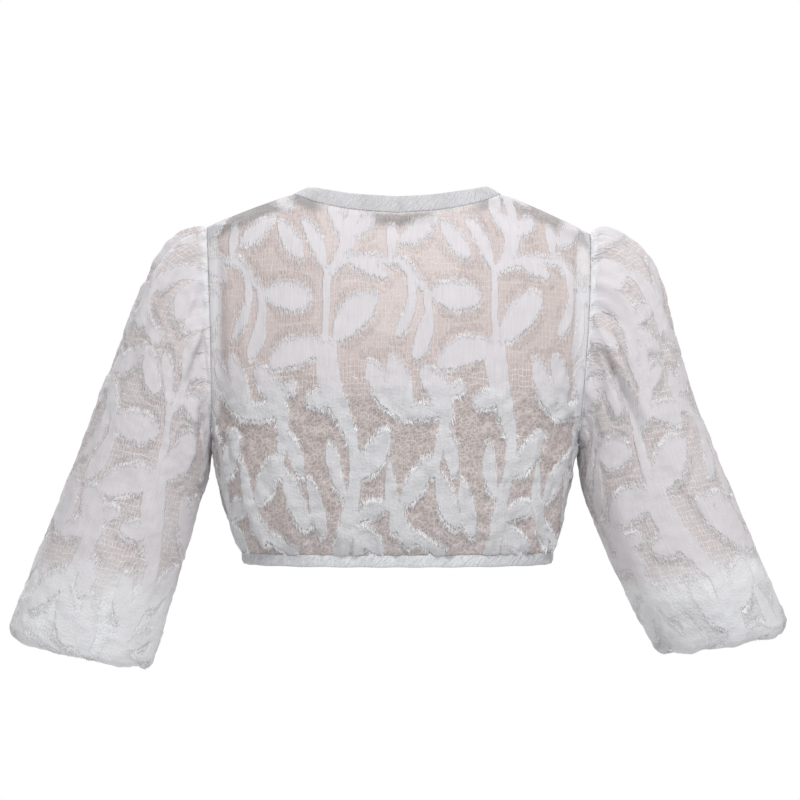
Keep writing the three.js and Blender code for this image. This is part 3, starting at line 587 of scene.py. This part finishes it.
def cloth_piece(name, grid, sizes):
    """A thin shell of cloth from a grid, with its cloth map and its leaf chart."""
    points = grid["points"]
    rows, columns = points.shape[:2]
    row, column = grid_faces(rows, columns, grid["wrap"], grid["facing"] < 0)
    piece = mesh_piece(name, points, row * columns + column % columns)
    mesh = piece.data
    cloth_map(mesh, grid["across"][row, column] * MM + 0.5, grid["up"][row, column] * MM + 0.5)
    for key in CLOTH_VALUES:
        values = mesh.attributes.new(key, "FLOAT", "POINT")
        shown = np.broadcast_to(grid[key], (rows, columns)).astype(np.float32)
        values.data.foreach_set("value", shown.ravel())
    shell = piece.modifiers.new("thickness", "SOLIDIFY")
    shell.thickness = sizes.cloth
    shell.offset = -1
    return piece


def slivers(name, foot, tip, normal, width):
    """Clipped threads, each a flat sliver with three sides from its foot to its tip."""
    along = unit(tip - foot)
    side = unit(np.cross(along, normal))
    out = np.cross(side, along)
    half = width[:, None] / 2
    points = np.stack([foot - half * side, foot + half * side, foot + 0.5 * half * out, tip], 1)
    start = 4 * np.arange(len(foot))[:, None]
    faces = np.concatenate([start + [face] for face in ((0, 1, 3), (1, 2, 3), (2, 0, 3), (2, 1, 0))])
    return mesh_piece(name, points, faces)


def clipped_threads(name, grid, sizes):
    """Threads clipped where they leave a leaf, mostly at its upper and lower edges."""
    points, leaf = grid["points"], grid["leaf"]
    columns = leaf.shape[1]
    count = int(columns * THREADS_PER_COLUMN)
    at = (np.arange(count) + 0.5) / count * (columns - 1)
    i = np.floor(at).astype(int)
    f = at - i

    def line(values):
        share = f if values.ndim == 2 else f[:, None]
        return values[:, i] * (1 - share) + values[:, i + 1] * share

    way, out, depth = line(points), line(grid["normals"]), line(leaf)
    crinkle = line(np.broadcast_to(grid["crinkle"], leaf.shape))
    low, high = depth[:-1], depth[1:]
    j, c = np.nonzero(low * high < 0)
    stout = chance(j, c, 1)
    part = low[j, c] / (low[j, c] - high[j, c])
    foot = lerp(way[j, c], way[j + 1, c], part[:, None])
    up = unit(way[j + 1, c] - way[j, c])
    outward = np.where(high[j, c] > low[j, c], 1, -1)[:, None] * up
    normal = unit(out[j, c])
    side = np.cross(up, normal)
    steep = abs(high[j, c] - low[j, c]) / np.linalg.norm(way[j + 1, c] - way[j, c], axis=-1)
    patchy = lumps(foot, 9, 31)
    crinkled = crinkle[j, c]
    found = []
    for turn in range(THREAD_TURNS):
        a, b, d, e = (chance(j, c, turn, k) for k in (3, 5, 7, 9))
        likely = np.clip(steep * 1.5 - 0.15, 0, 1) * (0.2 + 0.6 * crinkled + 0.75 * patchy)
        keep = (a < likely) & (np.linalg.norm(side, axis=-1) > 0.5)
        length = sizes.thread / MM * (0.3 + b) * (0.85 + 0.5 * patchy) * lerp(0.6, 1.35, crinkled)
        lift = lerp(-0.02, 0.3, d * d) * lerp(0.15, 1, crinkled)
        heading = unit(outward + side * ((e - 0.5) * 1.3)[:, None] + normal * lift[:, None])
        start = foot - outward * (1.6 - 3.0 * b)[:, None] + normal * 0.12
        start = start + side * ((d - 0.5) * 1.6)[:, None]
        end = start + heading * (length + 1.2)[:, None]
        width = sizes.thread_width / MM * (0.6 + 0.8 * stout)
        bright = np.clip(0.3 + 0.7 * crinkled + 0.35 * patchy + 0.4 * (e - 0.5), 0, 1)
        found.append([values[keep] for values in (start, end, normal, width, bright)])
    start, end, normal, width, bright = (np.concatenate(group) for group in zip(*found))
    threads = slivers(name, start, end, normal, width)
    threads.data.shade_flat()
    values = threads.data.attributes.new("bright", "FLOAT", "POINT")
    values.data.foreach_set("value", np.repeat(bright, 4).astype(np.float32))
    return threads


class Number:
    """A number that varies over a surface. Python sums on it add Math nodes."""

    def __init__(self, finish, socket):
        self.finish = finish
        self.socket = socket

    def math(self, operation, *values):
        made = self.finish.node("Math", {"operation": operation}, dict(enumerate(values)))
        return Number(self.finish, made.outputs[0])

    def __add__(self, other):
        return self.math("ADD", self, other)

    __radd__ = __add__

    def __sub__(self, other):
        return self.math("SUBTRACT", self, other)

    def __rsub__(self, other):
        return self.math("SUBTRACT", other, self)

    def __mul__(self, other):
        return self.math("MULTIPLY", self, other)

    __rmul__ = __mul__

    def sine(self):
        return self.math("SINE", self)

    def size(self):
        return self.math("ABSOLUTE", self)

    def most(self, other):
        return self.math("MAXIMUM", self, other)

    def rise(self, low, high):
        """0 below low, 1 above high, smooth between; falls when low is the larger."""
        flip = low > high
        values = {"Value": self, "From Min": min(low, high), "From Max": max(low, high),
                  "To Min": 1.0 if flip else 0.0, "To Max": 0.0 if flip else 1.0}
        made = self.finish.node("MapRange", {"interpolation_type": "SMOOTHSTEP"}, values)
        return Number(self.finish, made.outputs["Result"])


class Finish:
    """A material and its nodes."""

    def __init__(self, name):
        self.material = bpy.data.materials.new(name)
        self.material.use_nodes = True
        self.nodes = self.material.node_tree.nodes
        self.links = self.material.node_tree.links
        self.nodes.clear()
        self.shader = self.node("BsdfPrincipled", {}, {})
        self.node("OutputMaterial", {}, {"Surface": self.shader.outputs[0]})

    def node(self, kind, settings, values):
        made = self.nodes.new("ShaderNode" + kind)
        for key, value in settings.items():
            setattr(made, key, value)
        for key, value in values.items():
            self.set(made.inputs[key], value)
        return made

    def set(self, socket, value):
        if isinstance(value, Number):
            value = value.socket
        if isinstance(value, bpy.types.NodeSocket):
            self.links.new(value, socket)
        else:
            socket.default_value = (*value, 1.0) if socket.type == "RGBA" else value

    def finish(self, **values):
        for key, value in values.items():
            self.set(self.shader.inputs[key.replace("_", " ")], value)
        return self.material

    def cloth_place(self):
        """Across and up on the cloth's own map, in millimetres."""
        place = self.node("UVMap", {"uv_map": "cloth"}, {})
        parts = self.node("SeparateXYZ", {}, {"Vector": place.outputs[0]})
        return Number(self, parts.outputs[0]) * 1000, Number(self, parts.outputs[1]) * 1000

    def object_place(self):
        place = self.node("TexCoord", {}, {}).outputs["Object"]
        parts = self.node("SeparateXYZ", {}, {"Vector": place})
        return [Number(self, parts.outputs[k]) * 1000 for k in range(3)]

    def value(self, name):
        made = self.node("Attribute", {"attribute_name": name}, {})
        return Number(self, made.outputs["Fac"])

    def at(self, x, y, z=0.0):
        return self.node("CombineXYZ", {}, {"X": x, "Y": y, "Z": z}).outputs[0]

    def noise(self, x, y, z=0.0, detail=2.0):
        """Soft noise from -1 to 1."""
        values = {"Vector": self.at(x, y, z), "Scale": 1.0, "Detail": detail}
        made = self.node("TexNoise", {}, values)
        return Number(self, made.outputs[0]) * 2 - 1

    def cells(self, x, y):
        """Distance to the edge between uneven cells."""
        values = {"Vector": self.at(x, y), "Scale": 1.0}
        made = self.node("TexVoronoi", {"feature": "DISTANCE_TO_EDGE"}, values)
        return Number(self, made.outputs[0])

    def mix(self, share, first, second):
        made = self.node("Mix", {"data_type": "RGBA"}, {0: share, 6: first, 7: second})
        return made.outputs[2]

    def bump(self, height, distance, strength):
        made = self.node("Bump", {}, {"Height": height, "Distance": distance, "Strength": strength})
        return made.outputs[0]


# Colours of painted shadow and painted shade
PAINTED_SHADOW_DARK = (0.3, 0.29, 0.3)
PAINTED_SHADE_GREY = (0.36, 0.36, 0.38)
BLACK = (0.0, 0.0, 0.0)


def sheer_cloth(colours):
    """Sheer ground of fine threads with opaque woven leaves whose threads are clipped."""
    f = Finish("sheer_cloth")
    across, up = f.cloth_place()
    leaf_at, slope, double, veil, shade, crinkle = (f.value(k) for k in CLOTH_VALUES)

    fray = f.noise(across * 0.5, up * 0.1, detail=1.0)
    edge = leaf_at + slope * fray * 4.5 + f.noise(across * 0.3, up * 0.3) * 0.5
    leaf = edge.rise(0.7, -0.8)

    # Fine upright threads, heavier ones in uneven panes, and a net of them where the cloth is crinkled
    sway = f.noise(across * 0.09, up * 0.12)
    sag = f.noise(across * 0.13, up * 0.1, 7.0)
    streak = f.noise(across * 0.55 + sway, up * 0.06)
    thread = (across * (2 * math.pi / 2.1) + sway * 3.5).sine()
    level = (up * (math.pi / 5.6) + sag * 2.2).sine().size().rise(0.34, 0.04)
    upright = (across * (math.pi / 3.6) + sway * 2.4 + sag).sine().size().rise(0.4, 0.04)
    pane = level.most(upright) * f.noise(across * 0.12, up * 0.12, 4.0).rise(-0.7, 0.1)
    net = f.cells((across + sway * 2 + sag) * 0.19, (up + sag * 2 + across * 0.35) * 0.25).rise(0.2, 0.02)
    net = net * f.noise(across * 0.16, up * 0.16, 6.0).rise(-0.8, 0.1)
    netted = crinkle.rise(0.55, 1.0)
    weave = pane * (1 - netted) + net * netted
    weave = weave * (crinkle.rise(0.0, 0.25) * 0.4 - netted * 0.3 + 0.38)
    cloudy = f.noise(across * 0.035, up * 0.035, 3.0)

    # Where threads end along a leaf: a thin painted shadow at its edge, then a loose fuzz just outside it;
    # below a leaf's lower edge a painted shadow falls on the ground
    ends = slope.size().rise(0.2, 0.6)
    strands = f.noise(across * 0.6, up * 0.14, 8.0)
    tufts = f.noise(across * 0.1, up * 0.1, 11.0, detail=1.0)
    fuzz = (edge + strands * 4.0 - tufts * 4.0).rise(4.2, 1.6) * edge.rise(-0.3, 0.3) * (ends * 0.85 + 0.15)
    fuzz = fuzz * strands.rise(-0.5, 0.1) * (crinkle * 0.35 + 0.5)
    edge_shadow = edge.rise(-1.0, -0.2) * edge.rise(0.9, 0.1) * ends * fray.rise(0.2, -0.15)
    # painted shadow on the ground just below a leaf's lower edge
    under = edge.rise(1.2, 3.4) * edge.rise(6.5, 4.0) * slope.rise(-0.25, -0.8)

    # The ground's colour, then the leaves' over it
    tone = weave + (thread * 0.06 + streak * 0.24) * (1 - netted * 0.45) + cloudy * 0.14 + 0.06
    # darker above the hem, for the crinkled cloth and as painted shade of the lower body
    ground = f.mix(crinkle, colours.ground, colours.low_ground)
    ground = f.mix(veil, ground, colours.leaf)
    ground = f.mix(tone, ground, colours.ground_thread)
    ground = f.mix(double * 0.9, ground, colours.double)
    # painted shadow below the leaves and painted shade from the shade values
    ground = f.mix(under * crinkle * 0.4 + shade, ground, PAINTED_SHADOW_DARK)
    ground = f.mix(fuzz, ground, colours.thread)
    rib = (across * (2 * math.pi / 2.3) + sway * 2).sine()
    leaf_tone = f.noise(across * 0.5, up * 0.04) * 0.9 + rib * 0.14 + cloudy * 0.5
    woven = f.mix(crinkle.rise(0.3, 1.0), colours.leaf, colours.low_leaf)
    woven = f.mix(leaf_tone.rise(1.0, -1.0) * 0.16, woven, BLACK)
    woven = f.mix(double * 0.6, woven, colours.double)
    rim = edge.rise(-4.6, -1.4) * (ends * 0.7 + 0.3) * strands.rise(-0.3, 0.2)
    woven = f.mix(rim * (crinkle * 0.3 + 0.3) * tufts.rise(-0.6, 0.4), woven, colours.thread)
    # painted shade on the leaves
    woven = f.mix(shade * 0.4, woven, PAINTED_SHADE_GREY)
    cloth = f.mix(leaf, ground, woven)
    # painted shadow along the leaves' edges
    cloth = f.mix(edge_shadow * (crinkle.rise(0.3, 1.0) * 0.34 + 0.04), cloth, PAINTED_SHADOW_DARK)

    # The ground lets a little light through, and leaves and thread ends stand out
    clear = weave * 0.15 + thread * 0.03 + streak * 0.1 + veil * 0.1 + fuzz * 0.2 + 0.72
    alpha = clear + (1.0 - clear) * leaf
    alpha = alpha + (0.97 - alpha) * double
    pebble = f.noise(across * 0.4, up * 0.4, 2.0, detail=3.0)
    height = leaf * 0.8 + pebble * (crinkle * 0.8 + double * 0.3 + 0.2) * (1 - leaf * 0.3)
    height = height + (fuzz + rim) * (strands * 1.5 + 0.5) - edge_shadow * (crinkle * 0.8 + 0.1)
    return f.finish(
        Base_Color=cloth, Alpha=alpha, Roughness=0.92, Normal=f.bump(height, 0.0009, 0.9),
        Sheen_Weight=0.12, Sheen_Roughness=0.5,
    )


def band_cloth(colours):
    """Plain fine cloth of the neckband and hem casing."""
    f = Finish("band_cloth")
    across, up = f.cloth_place()
    fine = f.noise(across * 1.1, up * 0.14)
    slant = f.noise((across + up * 0.8) * 0.4, up * 0.1, 5.0, detail=3.0)
    cloudy = f.noise(across * 0.05, up * 0.05, 9.0)
    tone = (fine * 0.4 + slant * 0.6 + cloudy * 0.7).rise(-0.8, 0.8)
    cloth = f.mix(tone, colours.band * 0.8, colours.band)
    x, _, z = f.object_place()
    cloth = f.mix(z.rise(-300.0, -340.0) * (tone * 0.6 + 0.4), cloth, colours.double)
    # painted shade toward the sides of the neckband and the hem casing
    cloth = f.mix(x.size().rise(60.0, 130.0) * 0.34, cloth, PAINTED_SHADE_GREY)
    return f.finish(
        Base_Color=cloth, Roughness=0.9, Normal=f.bump(fine * 0.8 + slant * 1.8, 0.0008, 0.9),
        Sheen_Weight=0.12, Sheen_Roughness=0.5,
    )


def clipped_thread(colours):
    """Loose ends of the leaf threads."""
    f = Finish("clipped_thread")
    x, y, z = f.object_place()
    tone = f.noise(x * 0.2, y * 0.2, z * 0.2) * 0.3 + f.value("bright")
    cloth = f.mix(tone.rise(-0.1, 1.1), colours.leaf, colours.thread)
    return f.finish(Base_Color=cloth, Roughness=0.85, Sheen_Weight=0.1)


def label_cloth(colours):
    """Dense woven label."""
    f = Finish("label_cloth")
    x, _, z = f.object_place()
    rows = (z * (2 * math.pi / 0.5)).sine() * 0.5 + f.noise(x * 1.6, z * 0.5) * 0.5
    cloth = f.mix(rows.rise(-1.0, 1.0), colours.label * 0.7, colours.label)
    return f.finish(Base_Color=cloth, Roughness=0.7, Normal=f.bump(rows, 0.0002, 0.4))


def floor_finish(colours):
    """Plain pale floor."""
    f = Finish("floor")
    x, y, z = f.object_place()
    tone = f.noise(x * 0.004, y * 0.004, z).rise(-1.0, 1.0)
    paint = f.mix(tone, colours.floor * 0.97, colours.floor)
    return f.finish(Base_Color=paint, Roughness=0.8)


MATERIALS = {}


def finish_of(kind):
    if kind not in MATERIALS:
        MATERIALS[kind] = kind(bpy.context.scene.blouse_colours)
    return MATERIALS[kind]


def fit(piece, finish, nodes=()):
    """Gives a piece its material and sets it on the frame in place of its CAD nodes."""
    piece.data.materials.append(finish_of(finish))
    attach(piece, "root")
    if nodes:
        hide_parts(*nodes)


def neck_seam(which, side, along):
    """Points of the neck seam and the ways along it, out of the cloth and up into the opening."""
    sign = ARMHOLES[side][0]
    x, z = sign * read(NECK[which], along, 1), read(NECK[which], along, 2)
    y = panel_depth(which, x, z)
    seam = np.stack([x, y, z], -1)
    step = 0.5
    slope_x = (panel_depth(which, x + step, z) - panel_depth(which, x - step, z)) / (2 * step)
    slope_z = (y - panel_depth(which, x, z - step)) / step
    face = 1 if which == BACK else -1
    out = unit(face * np.stack([-slope_x, np.ones_like(x), -slope_z], -1))
    way = np.gradient(seam, axis=0)
    way[along < 0.02] = (1, 0, 0)
    up = unit(np.cross(way, out))
    up = up * np.where(up[:, 2:3] < 0, -1, 1)
    at_shoulder = along > 0.995
    seam[at_shoulder, 1] = 0
    out[at_shoulder] = (sign * math.sin(SHOULDER_SLOPE), 0, math.cos(SHOULDER_SLOPE))
    up[at_shoulder] = (-sign * math.cos(SHOULDER_SLOPE), 0, math.sin(SHOULDER_SLOPE))
    stand = np.radians(read(NECK[which], along, 3))[:, None]
    rise = up * np.cos(stand) + out * np.sin(stand)
    facing = out * np.cos(stand) - up * np.sin(stand)
    return seam + up * SEAM_GAP, rise, facing


def neckband_piece():
    """Folded strip round the neck, softly puckered where it is sewn on."""
    quarter = 70
    rows = []
    for which, side, turned in ((BACK, "left", False), (FRONT, "left", True),
                                (FRONT, "right", False), (BACK, "right", True)):
        along = np.linspace(0, 1, quarter + 1)
        parts = neck_seam(which, side, along)
        parts = [p[::-1] if turned else p for p in parts]
        rows.append([p[:-1] for p in parts])
    seam, rise, facing = (np.concatenate(group) for group in zip(*rows))
    for _ in range(3):
        rise = unit(np.roll(rise, 1, 0) + 2 * rise + np.roll(rise, -1, 0))
        facing = unit(np.roll(facing, 1, 0) + 2 * facing + np.roll(facing, -1, 0))
    # The fold's outline as heights and depths, from its outer foot over the top to its inner foot
    outline = ((0, 0.05), (1.2, 0.3), (4, 0.35), (8, 0.5), (12, 0.45), (15.2, 0.1), (16.6, -0.5), (17, -1.2),
               (16.5, -1.9), (14.5, -2.2), (10, -2.3), (5, -2.3), (1, -2.3), (0.1, -1.6))
    outer = 8  # points of it that face outwards
    run = around(seam)
    angle = 2 * math.pi * run[:-1] / run[-1]
    rings, up = [], []
    for k, (height, depth) in enumerate(outline):
        pucker = 0.28 * np.cos(74 * angle + 2.2 * np.sin(9 * angle)) * max(0, 1 - height / 9)
        wave = 0.35 * np.sin(11 * angle + 0.6) * height / NECKBAND_HEIGHT
        out = depth + pucker + wave
        rings.append(seam + rise * height + facing * out[:, None])
        up.append(height if k < outer else 2 * NECKBAND_HEIGHT - height)
    return tube_piece("band_neck", rings, run, up + [2 * NECKBAND_HEIGHT])


def hem_piece():
    """Casing round the elastic, drawn into fine slanting gathers."""
    steps = 420
    outline = ((0, -1.1), (0.3, -0.35), (1.6, 0.1), (4.5, 0.45), (8, 0.45), (10.8, 0.3), (11.8, 0.1),
               (11.85, -1.1), (11.6, -1.9), (8, -2.1), (4, -2.1), (0.4, -1.8))
    outer = 8  # points of it that face outwards
    theta = 2 * math.pi * np.arange(steps) / steps
    behind = np.cos(theta) >= 0
    rings, up = [], []
    for k, (height, depth) in enumerate(outline):
        z = np.full(steps, HEM_Z + height)
        ripple = 0.6 * np.cos(62 * theta + height * 0.35 + 2.5 * np.sin(7 * theta))
        ripple = ripple + 0.34 * np.cos(131 * theta + height * 0.5 + 3 * np.sin(5 * theta))
        out = depth + ripple * math.sin(math.pi * min(max(height, 1.2), 10.5) / 11.7)
        half = read(BODY, z, SIDE) + out
        deep = np.where(behind, abs(read(BODY, z, BACK)), abs(read(BODY, z, FRONT))) + out
        y = np.where(behind, 1, -1) * oval(np.sin(theta)) * deep
        bob = 0.245 * np.cos(23 * theta + 1.5 * np.sin(4 * theta))
        rings.append(np.stack([np.sin(theta) * half, y, z + bob * (height < 6)], -1))
        up.append(height if k < outer else 2 * (HEM_SEAM_Z - HEM_Z) - height)
    return tube_piece("casing_hem", rings, around(rings[3]), up + [2 * (HEM_SEAM_Z - HEM_Z)])


def tube_piece(name, rings, run, up):
    """A closed strip whose outline is closed too, from one ring of points for each point of the outline."""
    grid = np.array(rings)
    count, steps = grid.shape[:2]
    points = grid.reshape(-1, 3)
    row, column = grid_faces(count + 1, steps, True, False)
    index = (row % count) * steps + column % steps
    volume = np.sum(points[index[:, 0]] * np.cross(points[index[:, 1]], points[index[:, 2]]))
    if volume < 0:
        row, column, index = (corners[:, [0, 3, 2, 1]] for corners in (row, column, index))
    piece = mesh_piece(name, points, index)
    cloth_map(piece.data, run[column] * MM, np.array(up, float)[row] * MM)
    return piece


def around(ring):
    """Length round a closed ring from its first point."""
    return run_along(np.concatenate([ring, ring[:1]])[None], 1)[0]


GRIDS = {}


def add_cloth(node, grid, sizes):
    """Makes the cloth that stands for a CAD node and keeps its grid for the threads."""
    GRIDS[node] = grid
    fit(cloth_piece("cloth_" + node, grid, sizes), sheer_cloth, [node])


class BLOUSE_OT_panels(bpy.types.Operator):
    """Makes the back and the front"""

    bl_idname = "blouse.panels"
    bl_label = "Back and front"

    def execute(self, context):
        sizes = context.scene.blouse_sizes
        for node, which in (("back", BACK), ("front", FRONT)):
            add_cloth(node, panel_grid(which, *PANEL_STEPS, sizes), sizes)
        return {"FINISHED"}


class BLOUSE_OT_sleeves(bpy.types.Operator):
    """Makes both sleeves"""

    bl_idname = "blouse.sleeves"
    bl_label = "Sleeves"

    def execute(self, context):
        sizes = context.scene.blouse_sizes
        for side in ("left", "right"):
            add_cloth("sleeve_" + side, sleeve_grid(side, *SLEEVE_STEPS, sizes), sizes)
        return {"FINISHED"}


class BLOUSE_OT_threads(bpy.types.Operator):
    """Makes the clipped threads on every cloth piece"""

    bl_idname = "blouse.threads"
    bl_label = "Clipped threads"

    def execute(self, context):
        sizes = context.scene.blouse_sizes
        if not GRIDS:
            raise RuntimeError("the cloth pieces come before their threads")
        for node, grid in GRIDS.items():
            fit(clipped_threads("threads_" + node, grid, sizes), clipped_thread)
        return {"FINISHED"}


class BLOUSE_OT_bands(bpy.types.Operator):
    """Makes the neckband and the hem casing"""

    bl_idname = "blouse.bands"
    bl_label = "Neckband and hem casing"

    def execute(self, context):
        fit(neckband_piece(), band_cloth, ["neckband"])
        fit(hem_piece(), band_cloth, ["hem_casing"])
        return {"FINISHED"}


class BLOUSE_OT_label(bpy.types.Operator):
    """Finishes the blank label inside the neck"""

    bl_idname = "blouse.label"
    bl_label = "Label"

    def execute(self, context):
        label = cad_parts["neck_label"]
        if not label.material_slots:
            raise RuntimeError("the label has no material slot")
        for slot in label.material_slots:
            slot.material = finish_of(label_cloth)
        return {"FINISHED"}


FLOOR_Z, FLOOR_RADIUS = -1.35, 2.2
ROOM_LIGHT = 0.6
LAMP_POWER, LAMP_SIZE = 51, 0.6
LAMPS = {"key": (-0.5, 2.0, 1.9), "front_key": (0.5, -2.0, 1.9)}
EYE, LENS, SENSOR = (-0.0025, 3.0, -0.2), 135, 36


class BLOUSE_OT_stage(bpy.types.Operator):
    """Makes the floor, the light and the camera"""

    bl_idname = "blouse.stage"
    bl_label = "Stage"

    def execute(self, context):
        bpy.ops.object.select_all(action="DESELECT")
        bpy.ops.mesh.primitive_circle_add(
            vertices=96, radius=FLOOR_RADIUS, fill_type="NGON", location=(0, 0, FLOOR_Z))
        floor = context.object
        floor.name = "floor"
        floor.data.transform(floor.matrix_world)
        floor.location = (0, 0, 0)
        floor.data.materials.append(finish_of(floor_finish))

        world = bpy.data.worlds.new("studio")
        world.use_nodes = True
        nodes, links = world.node_tree.nodes, world.node_tree.links
        seen = nodes.new("ShaderNodeLightPath")
        bright = nodes.new("ShaderNodeMath")
        bright.operation = "MAXIMUM"
        bright.inputs[1].default_value = ROOM_LIGHT
        links.new(seen.outputs["Is Camera Ray"], bright.inputs[0])
        links.new(bright.outputs[0], nodes["Background"].inputs["Strength"])
        nodes["Background"].inputs["Color"].default_value = (1, 1, 1, 1)
        context.scene.world = world

        middle = Vector((0, 0, -0.2))
        for name, place in LAMPS.items():
            light = bpy.data.lights.new(name, "AREA")
            light.shape = "DISK"
            light.size = LAMP_SIZE
            light.energy = LAMP_POWER
            lamp = bpy.data.objects.new(name, light)
            lamp.location = place
            lamp.rotation_euler = (middle - Vector(place)).to_track_quat("-Z", "Y").to_euler()
            context.scene.collection.objects.link(lamp)

        camera = bpy.data.cameras.new("camera")
        camera.lens = LENS
        camera.sensor_width = SENSOR
        eye = bpy.data.objects.new("camera", camera)
        eye.location = EYE
        eye.rotation_euler = (math.pi / 2, 0, math.pi)
        context.scene.collection.objects.link(eye)
        context.scene.camera = eye
        context.scene.view_settings.view_transform = "Standard"
        context.scene.view_settings.look = "None"
        return {"FINISHED"}


class BLOUSE_PT_panel(bpy.types.Panel):
    """Lists the steps of the blouse"""

    bl_idname = "BLOUSE_PT_panel"
    bl_label = "Dirndl Blouse"
    bl_space_type = "VIEW_3D"
    bl_region_type = "UI"
    bl_category = "Blouse"

    def draw(self, context):
        column = self.layout.column()
        for group in (context.scene.blouse_sizes, context.scene.blouse_colours):
            for key in group.bl_rna.properties.keys():
                if key not in ("rna_type", "name"):
                    column.prop(group, key)
        for operator in OPERATORS:
            column.operator(operator.bl_idname)


OPERATORS = (BLOUSE_OT_panels, BLOUSE_OT_sleeves, BLOUSE_OT_threads, BLOUSE_OT_bands, BLOUSE_OT_label,
             BLOUSE_OT_stage)
CLASSES = (BlouseSizes, BlouseColours, *OPERATORS, BLOUSE_PT_panel)


def register():
    for part in CLASSES:
        bpy.utils.register_class(part)
    bpy.types.Scene.blouse_sizes = bpy.props.PointerProperty(type=BlouseSizes)
    bpy.types.Scene.blouse_colours = bpy.props.PointerProperty(type=BlouseColours)


def unregister():
    del bpy.types.Scene.blouse_colours
    del bpy.types.Scene.blouse_sizes
    for part in reversed(CLASSES):
        bpy.utils.unregister_class(part)


def main():
    register()
    bpy.ops.blouse.panels()
    bpy.ops.blouse.sleeves()
    bpy.ops.blouse.threads()
    bpy.ops.blouse.bands()
    bpy.ops.blouse.label()
    bpy.ops.blouse.stage()


if __name__ == "__main__":
    main()
